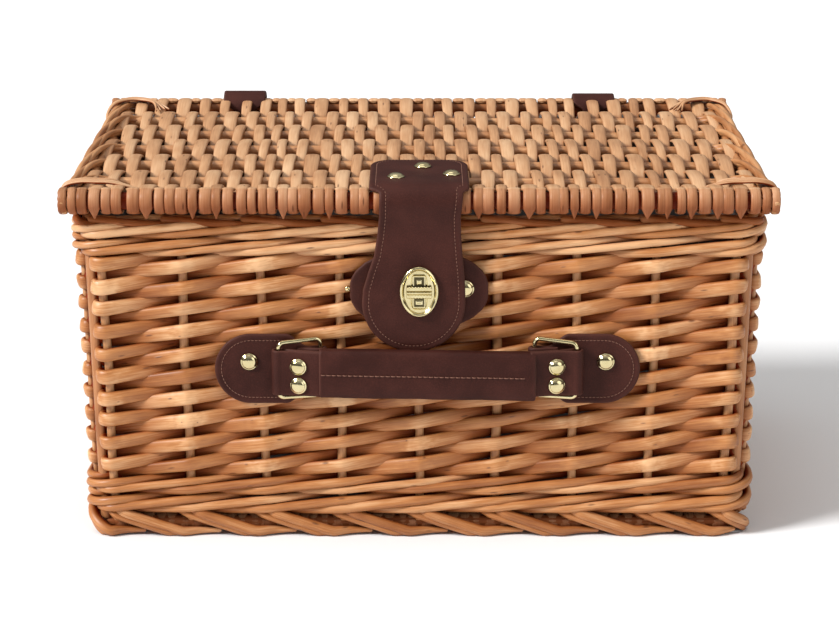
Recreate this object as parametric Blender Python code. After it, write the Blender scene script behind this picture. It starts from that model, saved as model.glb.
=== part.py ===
"""Rectangular willow picnic hamper with a leather-hinged lid, turn lock and folding handle.

Metres, +Z up. The origin is the centre of the face the basket stands on, +X runs along the
long side and -Y is the front with the lock and the handle.
"""
import math

import bmesh
import bpy
from mathutils import Vector

# driving sizes
GAP = 0.0003
LID_WIDTH = 0.400
LID_DEPTH = 0.280
BORDER_R = 0.0075
ROD_R = 0.0040
STICK_R = 0.0030
SIDE_ROD_R = 0.0055
LID_Z = 0.1993
PANEL_HALF = 0.0066
LID_STICKS = 5
RIM_Z = 0.1885
RIM_HALF_X, RIM_HALF_Y = 0.1945, 0.1310
BASE_HALF_X, BASE_HALF_Y = 0.1900, 0.1265
WALL = 0.0110
CORNER_R = 0.0160
FOOT_Z = 0.0145
LOWER_WALE_Z = 0.0366
UPPER_WALE_Z = 0.1668
FOOT_DEPTH = 0.0090
BASE_THICK = 0.0100
STAKE_R = 0.0025
STAKE_PITCH = 0.0444
STAKES_LONG, STAKES_SHORT = 9, 6
RUNNER_R = 0.0028
RUNNER_Y = 0.0600
LINING = 0.0010

# leather and brass
LEATHER = 0.0024
RIVET_R, RIVET_H, SHANK_R = 0.0047, 0.0022, 0.0015
HINGE_X, HINGE_WIDTH = 0.1128, 0.0270
HINGE_LEATHER = 0.0017
HINGE_AXIS = (0.0, 0.1405, 0.1905)
FLAP_AXIS = (0.0, -0.1390, 0.2060)
FLAP_TIP_Z = 0.1170
FLAP_FACE_Y = -0.1383
LOCK_Z = 0.1495
SLOT_X, SLOT_Z = 0.0041, 0.0098
PLATE_X, PLATE_Z, PLATE_T = 0.0107, 0.0144, 0.0016
BUTTON_X, BUTTON_Z, BUTTON_T = 0.0071, 0.0029, 0.0032
PATCH_X, PATCH_Z, PATCH_T = 0.0400, 0.0190, 0.0026
PATCH_RIVET_X = 0.0258
PIN_R = 0.0014

# handle, in its own plan: x from its middle, "off" from the wall's outer face
HANDLE_X, HANDLE_Z = 0.0047, 0.1025
HANDLE_WALL_Y = -0.1293
GRIP_HALF, GRIP_HEIGHT, GRIP_THICK = 0.0604, 0.0280, 0.0100
GRIP_OFF = 0.0125
STRAP_HALF, STRAP_THICK = 0.0130, 0.0038
PIVOT = (0.0600, 0.0036)
BAR = (0.0832, 0.0085)
KNUCKLE = (0.0630, GRIP_OFF)
WIRE_R = 0.0015
RING_TOP_IN, RING_TOP_OUT, RING_FOOT, RING_BEND = 0.0180, 0.0168, -0.0150, 0.0021
TUNNEL_R, LOOP_R = 0.00245, 0.00415
TAB_END, TAB_HALF, TAB_NECK, TAB_T = 0.1194, 0.0203, 0.0130, 0.0030
FOLD_R = 0.0033


def half_x(z):
    """Half the body's outer width at a height."""
    return BASE_HALF_X + (RIM_HALF_X - BASE_HALF_X) * z / RIM_Z


def half_y(z):
    """Half the body's outer depth at a height."""
    return BASE_HALF_Y + (RIM_HALF_Y - BASE_HALF_Y) * z / RIM_Z


def clear_scene():
    for old in list(bpy.data.objects):
        bpy.data.objects.remove(old)


def material(name, colour, roughness, metallic=0.0):
    made = bpy.data.materials.new(name)
    made.use_nodes = True
    shader = made.node_tree.nodes["Principled BSDF"]
    shader.inputs["Base Color"].default_value = (*colour, 1.0)
    shader.inputs["Roughness"].default_value = roughness
    shader.inputs["Metallic"].default_value = metallic
    return made


def add(name, mesh, finish, smooth=True):
    """Makes a named object of a mesh with its faces turned outwards."""
    work = bmesh.new()
    work.from_mesh(mesh)
    bmesh.ops.recalc_face_normals(work, faces=work.faces)
    work.to_mesh(mesh)
    work.free()
    made = bpy.data.objects.new(name, mesh)
    bpy.context.collection.objects.link(made)
    mesh.materials.clear()
    mesh.materials.append(finish)
    if smooth:
        mesh.shade_smooth()
        mesh.set_sharp_from_angle(angle=math.radians(35))
    return made


def combine(target, tool_mesh, operation):
    """Cuts a mesh from an object, or joins it on, and leaves no modifier behind."""
    tool = bpy.data.objects.new("tool", tool_mesh)
    tool.hide_render = True
    tool.display_type = "WIRE"
    bpy.context.collection.objects.link(tool)
    step = target.modifiers.new("Boolean", "BOOLEAN")
    step.operation = operation
    step.solver = "EXACT"
    step.object = tool
    bpy.context.view_layer.objects.active = target
    bpy.ops.object.modifier_apply(modifier=step.name)
    bpy.data.objects.remove(tool)


def skin(rings, closed=False):
    """Lofts a mesh through rings with equal numbers of points, and caps its ends."""
    mesh = bpy.data.meshes.new("skin")
    work = bmesh.new()
    rows = [[work.verts.new(point) for point in ring] for ring in rings]
    pairs = list(zip(rows, rows[1:]))
    if closed:
        pairs.append((rows[-1], rows[0]))
    for low, high in pairs:
        for i in range(len(low)):
            j = (i + 1) % len(low)
            work.faces.new((low[i], low[j], high[j], high[i]))
    if not closed:
        work.faces.new(rows[0])
        work.faces.new(list(reversed(rows[-1])))
    bmesh.ops.recalc_face_normals(work, faces=work.faces)
    work.to_mesh(mesh)
    work.free()
    return mesh


def merged(meshes):
    """One mesh that holds several."""
    mesh = bpy.data.meshes.new("merged")
    work = bmesh.new()
    for one in meshes:
        work.from_mesh(one)
    work.to_mesh(mesh)
    work.free()
    return mesh


def prism(outline, low, high, axis):
    """Extrudes a 2-D outline along X, Y or Z. The outline lies in the other two, in order."""
    def placed(point, at):
        values = list(point)
        values.insert("XYZ".index(axis), at)
        return values

    return skin([[placed(p, low) for p in outline], [placed(p, high) for p in outline]])


def box(low, high):
    outline = [(low[0], low[1]), (high[0], low[1]), (high[0], high[1]), (low[0], high[1])]
    return prism(outline, low[2], high[2], "Z")


def arc(centre, radius, first, last, steps):
    """Points along a circle from one angle to another, in degrees."""
    angles = [math.radians(first + (last - first) * i / steps) for i in range(steps + 1)]
    return [(centre[0] + radius * math.cos(a), centre[1] + radius * math.sin(a)) for a in angles]


def smooth_line(points, steps):
    """A Catmull-Rom curve through a few points."""
    ends = [points[0], *points, points[-1]]
    line = []
    for a, b, c, d in zip(ends, ends[1:], ends[2:], ends[3:]):
        for i in range(steps):
            t = i / steps
            line.append(tuple(
                0.5 * (2 * q + (r - p) * t + (2 * p - 5 * q + 4 * r - s) * t * t
                       + (3 * q - p - 3 * r + s) * t ** 3)
                for p, q, r, s in zip(a, b, c, d)))
    return line + [points[-1]]


def ribbon(line, thickness):
    """The outline of a strip of even thickness along a 2-D line."""
    left, right = [], []
    for i, point in enumerate(line):
        before, after = line[max(i - 1, 0)], line[min(i + 1, len(line) - 1)]
        along = Vector((after[0] - before[0], after[1] - before[1])).normalized()
        side = Vector((-along.y, along.x)) * thickness / 2
        left.append((point[0] + side.x, point[1] + side.y))
        right.append((point[0] - side.x, point[1] - side.y))
    return left + right[::-1]


def frame_of(direction):
    """Two directions square to a third."""
    helper = Vector((0, 0, 1)) if abs(direction.z) < 0.9 else Vector((1, 0, 0))
    first = direction.cross(helper).normalized()
    return first, direction.cross(first).normalized()


def rod(start, end, radius, sides=12):
    """A straight round rod between two points."""
    start, end = Vector(start), Vector(end)
    u, v = frame_of((end - start).normalized())
    turn = [2 * math.pi * (i + 0.5) / sides for i in range(sides)]
    ring = [radius * (u * math.cos(a) + v * math.sin(a)) for a in turn]
    return skin([[start + p for p in ring], [end + p for p in ring]])


def turned(profile, centre, axis, sides=14):
    """A solid turned about an axis. The profile is (radius, height) from its foot to its top."""
    axis, centre = Vector(axis).normalized(), Vector(centre)
    u, v = frame_of(axis)
    rings = []
    for radius, height in profile:
        ring = []
        for i in range(sides):
            a = 2 * math.pi * i / sides
            ring.append(centre + axis * height + radius * (u * math.cos(a) + v * math.sin(a)))
        rings.append(ring)
    return skin(rings)


def rivet(centre, axis, shank):
    """A domed rivet whose head stands on the leather's face at centre."""
    head = [(RIVET_R * math.cos(math.radians(a)), GAP + RIVET_H * math.sin(math.radians(a)))
            for a in (0, 20, 45, 70, 85)]
    profile = [(SHANK_R, -shank), (SHANK_R, GAP), *head]
    return turned(profile, centre, axis)


# plan outlines of the woven walls

def wall_plan(side, hx, hy, thick):
    """A wall's outline seen from above, mitred at the middle of its two round corners."""
    long_wall = side in ("front", "back")
    reach, face = (hx, hy) if long_wall else (hy, hx)
    trim = math.degrees(GAP / 2 / CORNER_R)
    outer = arc((reach - CORNER_R, face - CORNER_R), CORNER_R, 45 + trim, 90, 4)
    inner_r = CORNER_R - thick
    trim_in = math.degrees(GAP / 2 / inner_r)
    inner = arc((reach - CORNER_R, face - CORNER_R), inner_r, 45 + trim_in, 90, 4)
    right = outer + inner[::-1]
    half = [(x, y) for x, y in right]
    outer_run = [(x, y) for x, y in half[:5]]
    inner_run = [(x, y) for x, y in half[5:]]
    line = outer_run + [(-x, y) for x, y in outer_run[::-1]]
    line += [(-x, y) for x, y in inner_run[::-1]] + inner_run
    if side == "front":
        return [(-x, -y) for x, y in line]
    if side == "back":
        return line
    if side == "right":
        return [(y, -x) for x, y in line]
    return [(-y, x) for x, y in line]


def wall_band(side, low, high, thick=WALL):
    """One woven band of a wall between two heights, leaning out with the body's taper."""
    rings = []
    for z in (low, high):
        rings.append([(x, y, z) for x, y in wall_plan(side, half_x(z), half_y(z), thick)])
    return skin(rings)


def round_plan(hx, hy, radius):
    """A rectangle with round corners, seen from above."""
    ring = []
    for cx, cy, first in ((1, 1, 0), (-1, 1, 90), (-1, -1, 180), (1, -1, 270)):
        ring += arc((cx * (hx - radius), cy * (hy - radius)), radius, first, first + 90, 4)
    return ring


def stake_places(side):
    """Where the stakes of a wall stand: functions of height that give x and y."""
    long_wall = side in ("front", "back")
    count = STAKES_LONG if long_wall else STAKES_SHORT
    sign = -1 if side in ("front", "left") else 1
    places = []
    for i in range(count):
        along = (i - (count - 1) / 2) * STAKE_PITCH
        if long_wall:
            places.append(lambda z, a=along: (a * half_x(z) / RIM_HALF_X, sign * (half_y(z) - WALL / 2)))
        else:
            places.append(lambda z, a=along: (sign * (half_x(z) - WALL / 2), a * half_y(z) / RIM_HALF_Y))
    return places


def uprights(side, low, high, radius):
    """Rods, or the bores for them, at a wall's stakes between two heights."""
    return merged([
        rod((*place(low), low), (*place(high), high), radius, sides=10)
        for place in stake_places(side)])


def build_body(willow, bark, cloth):
    plan = round_plan(BASE_HALF_X - FOOT_DEPTH - GAP, BASE_HALF_Y - FOOT_DEPTH - GAP, CORNER_R - FOOT_DEPTH)
    base = add("base_weave", prism(plan, 0, BASE_THICK, "Z"), willow, smooth=False)
    runners = [rod((-0.19, y, BASE_THICK / 2), (0.19, y, BASE_THICK / 2), RUNNER_R + GAP)
               for y in (-RUNNER_Y, RUNNER_Y)]
    combine(base, merged(runners), "DIFFERENCE")
    for name, y in (("front", -RUNNER_Y), ("back", RUNNER_Y)):
        runner = rod((-0.1795, y, BASE_THICK / 2), (0.1795, y, BASE_THICK / 2), RUNNER_R)
        add(f"base_runner_{name}", runner, bark)
    top = RIM_Z - 0.0015
    for side in ("front", "back", "left", "right"):
        bands = (("lower_wale", FOOT_Z, LOWER_WALE_Z), ("siding", LOWER_WALE_Z + GAP, UPPER_WALE_Z),
                 ("rim_wale", UPPER_WALE_Z + GAP, RIM_Z))
        for name, low, high in bands:
            band = add(f"{name}_{side}", wall_band(side, low, high), willow)
            combine(band, uprights(side, low - 0.003, high + 0.003, STAKE_R + GAP), "DIFFERENCE")
        stakes = add(f"{side}_stakes", wall_band(side, 0, FOOT_Z - GAP, FOOT_DEPTH), bark)
        combine(stakes, uprights(side, FOOT_Z / 2, top, STAKE_R), "UNION")
    shell = []
    for inset, low in ((WALL + GAP, BASE_THICK + GAP), (WALL + GAP + LINING, BASE_THICK + GAP + LINING)):
        rings = []
        for z in (low, RIM_Z - 0.0045 + (0 if inset < WALL + LINING else 0.01)):
            ring = round_plan(half_x(z) - inset, half_y(z) - inset, CORNER_R - WALL + 0.002)
            rings.append([(x, y, z) for x, y in ring])
        shell.append(skin(rings))
    lining = add("lining", shell[0], cloth)
    combine(lining, shell[1], "DIFFERENCE")


def build_lid(willow, bark):
    front, back = -LID_DEPTH / 2 + BORDER_R, LID_DEPTH / 2 - BORDER_R
    lean = math.degrees(math.asin(PANEL_HALF / BORDER_R))
    profile = arc((back, LID_Z), BORDER_R, -180 + lean, 180 - lean, 16)
    profile += arc((front, LID_Z), BORDER_R, lean, 360 - lean, 16)
    half = LID_WIDTH / 2 - 2 * SIDE_ROD_R - GAP
    panel = add("lid_weave", prism(profile, -half, half, "X"), willow)
    pitch = (back - front) / (LID_STICKS + 1)
    reach = half + 0.01
    bores = [rod((-reach, y, LID_Z), (reach, y, LID_Z), ROD_R + GAP) for y in (front, back)]
    sticks = [front + pitch * (i + 1) for i in range(LID_STICKS)]
    bores += [rod((-reach, y, LID_Z), (reach, y, LID_Z), STICK_R + GAP) for y in sticks]
    combine(panel, merged(bores), "DIFFERENCE")
    groove_r = BORDER_R + HINGE_LEATHER + 3 * GAP
    width = HINGE_WIDTH / 2 + 2 * GAP
    for x in (-HINGE_X, HINGE_X):
        outer = arc((back, LID_Z), groove_r, 0, 360, 32)[:-1]
        inner = arc((back, LID_Z), BORDER_R - GAP / 3, 0, 360, 32)[:-1]
        combine(panel, ring_prism(outer, inner, x - width, x + width), "DIFFERENCE")
    for name, y in (("front", front), ("back", back)):
        add(f"lid_rod_{name}", rod((-half, y, LID_Z), (half, y, LID_Z), ROD_R), bark)
    for i, y in enumerate(sticks):
        add(f"lid_stick_{i + 1}", rod((-half, y, LID_Z), (half, y, LID_Z), STICK_R), bark)
    side_x = LID_WIDTH / 2 - SIDE_ROD_R
    for name, x in (("left", -side_x), ("right", side_x)):
        ends = (x, -LID_DEPTH / 2 + 0.003, LID_Z), (x, LID_DEPTH / 2 - 0.003, LID_Z)
        add(f"lid_rod_{name}", rod(*ends, SIDE_ROD_R, sides=14), bark)


def ring_prism(outer, inner, low, high):
    """A tube along X between two loops of (y, z) points."""
    mesh = bpy.data.meshes.new("tube")
    work = bmesh.new()
    loops = []
    for x in (low, high):
        for line in (outer, inner):
            loops.append([work.verts.new((x, y, z)) for y, z in line])
    count = len(outer)
    for a, b in ((0, 1), (1, 3), (3, 2), (2, 0)):
        for i in range(count):
            j = (i + 1) % count
            work.faces.new((loops[a][i], loops[a][j], loops[b][j], loops[b][i]))
    bmesh.ops.recalc_face_normals(work, faces=work.faces)
    work.to_mesh(mesh)
    work.free()
    return mesh


def build_hinges(leather, brass):
    back = LID_DEPTH / 2 - BORDER_R
    inner_r, outer_r = BORDER_R + GAP, BORDER_R + GAP + HINGE_LEATHER
    tail = smooth_line([(0.1319, 0.1450), (0.1327, 0.1760), (0.1342, 0.1835), (0.1368, 0.1876)], 5)
    for name, x in (("left", -HINGE_X), ("right", HINGE_X)):
        low, high = x - HINGE_WIDTH / 2, x + HINGE_WIDTH / 2
        outer = arc((back, LID_Z), outer_r, 0, 360, 28)[:-1]
        inner = arc((back, LID_Z), inner_r, 0, 360, 28)[:-1]
        add(f"hinge_loop_{name}", ring_prism(outer, inner, low, high), leather)
        strap = add(f"hinge_strap_{name}", prism(ribbon(tail, HINGE_LEATHER), low, high, "X"), leather)
        face = Vector((x, 0.1331, 0.1575))
        hole = rod(face + Vector((0, -0.004, 0)), face + Vector((0, 0.003, 0)), SHANK_R + GAP)
        combine(strap, hole, "DIFFERENCE")
        add(f"hinge_rivet_{name}", rivet(face, (0, 1, 0), 0.0012), brass)


def flap_outline():
    """The hanging flap's outline in X and Z: eared at the fold, waisted, with a round foot."""
    side = [(0.0268, 0.2080), (0.0262, 0.2040), (0.0222, 0.1985), (0.0215, 0.1920), (0.0235, 0.1760),
            (0.0274, 0.1580), (0.0280, 0.1460), (0.0245, 0.1300), (0.0150, 0.1205), (0.0, FLAP_TIP_Z)]
    right = smooth_line(side, 4)
    return right + [(-x, z) for x, z in right[-2::-1]]


def build_closure(leather, brass):
    top = LID_Z + BORDER_R + GAP
    plan = [(-0.0268, -0.1364), (0.0268, -0.1364)]
    plan += arc((0.0188, -0.0759), 0.0080, 0, 90, 5)
    plan += arc((-0.0188, -0.0759), 0.0080, 90, 180, 5)
    anchor = add("closure_anchor", prism(plan, top, top + LEATHER, "Z"), leather)
    spots = (("left", -0.0130, -0.1180), ("middle", 0.0020, -0.0905), ("right", 0.0180, -0.1110))
    for name, x, y in spots:
        hole = rod((x, y, top - 0.002), (x, y, top + LEATHER + 0.002), SHANK_R + GAP)
        combine(anchor, hole, "DIFFERENCE")
        add(f"closure_rivet_{name}", rivet((x, y, top + LEATHER), (0, 0, 1), LEATHER - GAP), brass)
    y = FLAP_FACE_Y
    line = [FLAP_AXIS[1:], (-0.1409, 0.2035), (-0.1417, 0.1990), (-0.1409, 0.1935), (-0.1392, 0.1860),
            (y, 0.1780), (y, 0.1500), (y, FLAP_TIP_Z - 0.002)]
    flap = add("closure_flap", prism(ribbon(smooth_line(line, 4), LEATHER), -0.035, 0.035, "X"), leather)
    combine(flap, prism(flap_outline(), -0.160, -0.120, "Y"), "INTERSECT")
    slot = box((-SLOT_X, -0.150, LOCK_Z - SLOT_Z), (SLOT_X, -0.130, LOCK_Z + SLOT_Z))
    combine(flap, slot, "DIFFERENCE")
    face = y - LEATHER / 2 - GAP
    oval = [(PLATE_X * math.cos(a), LOCK_Z + PLATE_Z * math.sin(a))
            for a in (2 * math.pi * i / 32 for i in range(32))]
    plate = add("lock_escutcheon", prism(oval, face - PLATE_T, face, "Y"), brass)
    combine(plate, slot, "DIFFERENCE")
    build_lock(face - PLATE_T, leather, brass)


def build_lock(front, leather, brass):
    """The patch on the wall, the lock's base with its post, and the turn button."""
    wall = -half_y(LOCK_Z) - 2 * GAP - 0.0004
    tilt = (RIM_HALF_Y - BASE_HALF_Y) / RIM_Z
    outline = [(-PATCH_X, LOCK_Z), (-0.031, LOCK_Z - 0.0145), (-0.012, LOCK_Z - PATCH_Z),
               (0.012, LOCK_Z - PATCH_Z), (0.031, LOCK_Z - 0.0145), (PATCH_X, LOCK_Z),
               (0.031, LOCK_Z + 0.0145), (0.012, LOCK_Z + PATCH_Z), (-0.012, LOCK_Z + PATCH_Z),
               (-0.031, LOCK_Z + 0.0145)]
    rings = []
    for depth in (0, -PATCH_T):
        rings.append([(x, wall + depth - tilt * (z - LOCK_Z), z) for x, z in outline])
    patch = add("lock_patch", skin(rings), leather, smooth=False)
    for name, x in (("left", -PATCH_RIVET_X), ("right", PATCH_RIVET_X)):
        face = Vector((x, wall - PATCH_T, LOCK_Z))
        hole = rod(face + Vector((0, 0.005, 0)), face - Vector((0, 0.002, 0)), SHANK_R + GAP)
        combine(patch, hole, "DIFFERENCE")
        add(f"patch_rivet_{name}", rivet(face, (0, -1, 0), PATCH_T - 3 * GAP), brass)
    back = wall - PATCH_T - 0.0006
    base = add("lock_base", box((-0.009, back - 0.0012, LOCK_Z - 0.0130), (0.009, back, LOCK_Z + 0.0130)),
               brass, smooth=False)
    post_x, post_z = SLOT_X - 0.0004, SLOT_Z - 0.0005
    post = box((-post_x, front, LOCK_Z - post_z), (post_x, back - 0.0006, LOCK_Z + post_z))
    combine(base, post, "UNION")
    combine(base, rod((0, front - 0.002, LOCK_Z), (0, front + 0.005, LOCK_Z), PIN_R + GAP, sides=16), "DIFFERENCE")
    near, far = front - GAP, front - GAP - BUTTON_T
    outline = [(-BUTTON_X, LOCK_Z - BUTTON_Z), (BUTTON_X, LOCK_Z - BUTTON_Z),
               (BUTTON_X, LOCK_Z + BUTTON_Z), (-BUTTON_X, LOCK_Z + BUTTON_Z)]
    button = add("turn_button", prism(outline, far, near, "Y"), brass, smooth=False)
    combine(button, rod((0, near - 0.001, LOCK_Z), (0, front + 0.004, LOCK_Z), PIN_R, sides=16), "UNION")


# the handle

def on_wall(side, x, off):
    """World x and y of a point in the handle's plan, on its left (-1) or right (1) half."""
    return HANDLE_X + side * x, HANDLE_WALL_Y - off


def plan_prism(side, points, half):
    """A prism that stands along Z, from plan points of the handle."""
    outline = [on_wall(side, x, off) for x, off in points]
    return prism(outline, HANDLE_Z - half, HANDLE_Z + half, "Z")


def build_tab(side, name, leather, brass):
    end = [(TAB_END - TAB_HALF + TAB_HALF * math.cos(a), TAB_HALF * math.sin(a))
           for a in (math.radians(-90 + 12 * i) for i in range(16))]
    neck = [(0.0765, TAB_HALF), (0.0655, TAB_NECK), (PIVOT[0], TAB_NECK)]
    points = end + neck + [(x, -z) for x, z in neck[::-1]]
    outline = [(HANDLE_X + side * x, HANDLE_Z + z) for x, z in points]
    near = HANDLE_WALL_Y - 2 * GAP
    tab = add(f"handle_tab_{name}", prism(outline, near - TAB_T, near, "Y"), leather)
    fold = arc(PIVOT, FOLD_R, -60, 100, 10) + [(PIVOT[0] + 0.004, 0.0064), (PIVOT[0] + 0.0095, TAB_T),
                                              (PIVOT[0] + 0.0095, 0.0010), (PIVOT[0] + 0.002, 0.0010)]
    fold = [(2 * PIVOT[0] - x, off) if i <= 10 else (x, off) for i, (x, off) in enumerate(fold)]
    combine(tab, plan_prism(side, fold, TAB_NECK - 0.0002), "UNION")
    x, y = on_wall(side, *PIVOT)
    combine(tab, rod((x, y, HANDLE_Z - 0.03), (x, y, HANDLE_Z + 0.03), WIRE_R + GAP), "DIFFERENCE")
    face = Vector((HANDLE_X + side * 0.100, near - TAB_T, HANDLE_Z + 0.0045))
    hole = rod(face + Vector((0, 0.006, 0)), face - Vector((0, 0.002, 0)), SHANK_R + GAP)
    combine(tab, hole, "DIFFERENCE")
    add(f"tab_rivet_{name}", rivet(face, (0, -1, 0), TAB_T - GAP), brass)


def build_ring(side, name, brass):
    """A flat wire ring: its inner bar turns in the tab's fold, its outer bar holds the strap."""
    inner, outer = Vector((*on_wall(side, *PIVOT), HANDLE_Z)), Vector((*on_wall(side, *BAR), HANDLE_Z))
    along = outer - inner
    length = along.length
    along.normalize()
    corners = [(0, RING_FOOT, 180, 270), (length, RING_FOOT, 270, 360), (length, RING_TOP_OUT, 0, 90),
               (0, RING_TOP_IN, 90, 180)]
    path = []
    for u, z, first, last in corners:
        centre = (u + (RING_BEND if u == 0 else -RING_BEND), z - math.copysign(RING_BEND, z))
        path += arc(centre, RING_BEND, first, last, 4)
    rings = []
    for i, (u, z) in enumerate(path):
        before, after = path[i - 1], path[(i + 1) % len(path)]
        run = along * (after[0] - before[0]) + Vector((0, 0, after[1] - before[1]))
        run.normalize()
        flat = along.cross(Vector((0, 0, 1))).normalized()
        across = run.cross(flat)
        centre = inner + along * u + Vector((0, 0, z))
        turn = [2 * math.pi * k / 10 for k in range(10)]
        rings.append([centre + WIRE_R * (flat * math.cos(a) + across * math.sin(a)) for a in turn])
    add(f"ring_{name}", skin(rings, closed=True), brass)


def build_strap_end(side, name, leather, brass):
    """The strap's end: two layers from the grip, looped round the ring's outer bar."""
    length = math.dist(KNUCKLE, BAR)
    lean = math.atan2(BAR[1] - KNUCKLE[1], BAR[0] - KNUCKLE[0])
    half = STRAP_THICK / 2
    flare = 0.0120

    def thick(u):
        if u <= 0:
            return math.sqrt(max(half ** 2 - u ** 2, 0))
        if u >= length:
            return math.sqrt(max(LOOP_R ** 2 - (u - length) ** 2, 0))
        t = min(max((u - flare) / (length - flare), 0), 1)
        return half + (LOOP_R - half) * t * t * (3 - 2 * t)

    steps = [-half * math.cos(math.radians(a)) for a in (0, 30, 60, 90)]
    steps += [flare * i / 3 for i in (1, 2, 3)] + [flare + (length - flare) * i / 5 for i in range(1, 6)]
    steps += [length + LOOP_R * math.sin(math.radians(a)) for a in (22, 45, 68, 90)]

    def plan(u, v):
        x = KNUCKLE[0] + u * math.cos(lean) - v * math.sin(lean)
        return x, KNUCKLE[1] + u * math.sin(lean) + v * math.cos(lean)

    points = [plan(u, thick(u)) for u in steps] + [plan(u, -thick(u)) for u in steps[-2:0:-1]]
    strap = add(f"strap_end_{name}", plan_prism(side, points, STRAP_HALF), leather)
    x, y = on_wall(side, *BAR)
    combine(strap, rod((x, y, HANDLE_Z - 0.03), (x, y, HANDLE_Z + 0.03), TUNNEL_R, sides=16), "DIFFERENCE")
    at = 0.0088
    holes, pieces = [], []
    out = Vector((*on_wall(side, *plan(at, 1.0)), 0)) - Vector((*on_wall(side, *plan(at, 0.0)), 0))
    for z in (-0.0068, 0.0041):
        face = Vector((*on_wall(side, *plan(at, half)), HANDLE_Z + z))
        holes.append(rod(face + 0.002 * out, face - 0.008 * out, SHANK_R + GAP))
        pieces.append(rivet(face, out, STRAP_THICK + 0.0008))
    combine(strap, merged(holes), "DIFFERENCE")
    washer = [plan(at - 0.003, -half - GAP), plan(at + 0.003, -half - GAP),
              plan(at + 0.003, -half - GAP - 0.0009), plan(at - 0.003, -half - GAP - 0.0009)]
    outline = [on_wall(side, *p) for p in washer]
    pair = add(f"strap_rivets_{name}", prism(outline, HANDLE_Z - 0.0100, HANDLE_Z + 0.0073, "Z"), brass)
    combine(pair, merged(pieces), "UNION")


def build_handle(leather, brass):
    for side, name in ((-1, "left"), (1, "right")):
        build_tab(side, name, leather, brass)
        build_ring(side, name, brass)
        build_strap_end(side, name, leather, brass)
    # the padded grip is a flattened oval with softly narrowed ends
    rings = []
    y = HANDLE_WALL_Y - GRIP_OFF
    for x, full in ((-1, 0.86), (-0.97, 1.0), (0.97, 1.0), (1, 0.86)):
        ring = []
        for i in range(24):
            a = 2 * math.pi * i / 24
            cos, sin = math.cos(a), math.sin(a)
            across = math.copysign(abs(cos) ** 0.75, cos) * GRIP_THICK / 2 * full
            tall = math.copysign(abs(sin) ** 0.75, sin) * GRIP_HEIGHT / 2 * (0.5 + full / 2)
            ring.append((HANDLE_X + x * GRIP_HALF, y + across, HANDLE_Z + tall))
        rings.append(ring)
    add("handle_grip", skin(rings), leather)


clear_scene()
WILLOW = material("willow_weave", (0.47, 0.23, 0.09), 0.55)
BARK = material("willow_rod", (0.42, 0.20, 0.08), 0.55)
CLOTH = material("lining_cloth", (0.32, 0.32, 0.31), 0.95)
HIDE = material("brown_leather", (0.075, 0.024, 0.018), 0.45)
BRASS = material("pale_brass", (0.78, 0.70, 0.42), 0.25, 1.0)
build_body(WILLOW, BARK, CLOTH)
build_lid(WILLOW, BARK)
build_hinges(HIDE, BRASS)
build_closure(HIDE, BRASS)
build_handle(HIDE, BRASS)
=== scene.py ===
"""Willow picnic hamper: woven rods, leather and brass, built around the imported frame.

Metres, +Z up, -Y is the front. Walls are described from outside, left to right: "along" is the
distance round the middle of the wall, "out" is the distance outwards from that middle.
"""
import math
import random

import bpy
import numpy as np
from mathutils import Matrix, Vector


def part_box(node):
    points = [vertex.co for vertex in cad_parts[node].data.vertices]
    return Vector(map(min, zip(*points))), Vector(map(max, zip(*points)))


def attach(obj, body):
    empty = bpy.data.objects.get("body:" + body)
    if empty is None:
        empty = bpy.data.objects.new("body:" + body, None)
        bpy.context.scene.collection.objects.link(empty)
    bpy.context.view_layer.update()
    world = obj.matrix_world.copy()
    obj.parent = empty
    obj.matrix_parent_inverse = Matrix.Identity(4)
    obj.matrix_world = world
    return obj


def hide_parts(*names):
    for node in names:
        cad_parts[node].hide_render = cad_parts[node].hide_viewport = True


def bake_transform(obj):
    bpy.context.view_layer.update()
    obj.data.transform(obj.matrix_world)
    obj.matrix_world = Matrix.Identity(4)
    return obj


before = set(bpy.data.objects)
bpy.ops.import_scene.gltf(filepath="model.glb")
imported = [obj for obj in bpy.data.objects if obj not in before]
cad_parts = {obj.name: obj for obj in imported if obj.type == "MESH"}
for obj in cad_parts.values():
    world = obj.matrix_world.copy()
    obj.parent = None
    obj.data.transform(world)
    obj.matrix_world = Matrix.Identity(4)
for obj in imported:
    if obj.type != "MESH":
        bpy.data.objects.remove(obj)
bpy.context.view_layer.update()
draw = random.Random(11)

RIM_Z = 0.1885
RIM_HALF_X, RIM_HALF_Y = 0.1945, 0.1310
BASE_HALF_X, BASE_HALF_Y = 0.1900, 0.1265
WALL, CORNER_R = 0.0110, 0.0160
STAKE_R, STAKE_PITCH = 0.0025, 0.0444
LID_Z, LID_HALF_X, LID_HALF_Y, BORDER_R = 0.1993, 0.2000, 0.1400, 0.0075
BORDER_Y = LID_HALF_Y - BORDER_R
HINGE_X, HINGE_WIDTH, HINGE_LEATHER = 0.1128, 0.0270, 0.0017
LEATHER, SEAM_DEPTH = 0.0024, 0.00028
LOCK_Z = 0.1495
HANDLE_X, HANDLE_Z, HANDLE_WALL_Y = 0.0047, 0.1025, -0.1293
GRIP_HALF, GRIP_OFF = 0.0604, 0.0125
PIVOT, BAR, KNUCKLE = (0.0600, 0.0036), (0.0832, 0.0085), (0.0630, 0.0125)
SIDES = ("front", "right", "back", "left")
LEFT_RIGHT = (("left", -1), ("right", 1))
UP, FORWARD, SIDEWAYS = (0, 0, 1.0), (0, -1.0, 0), (1.0, 0, 0)


# shader helpers

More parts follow.
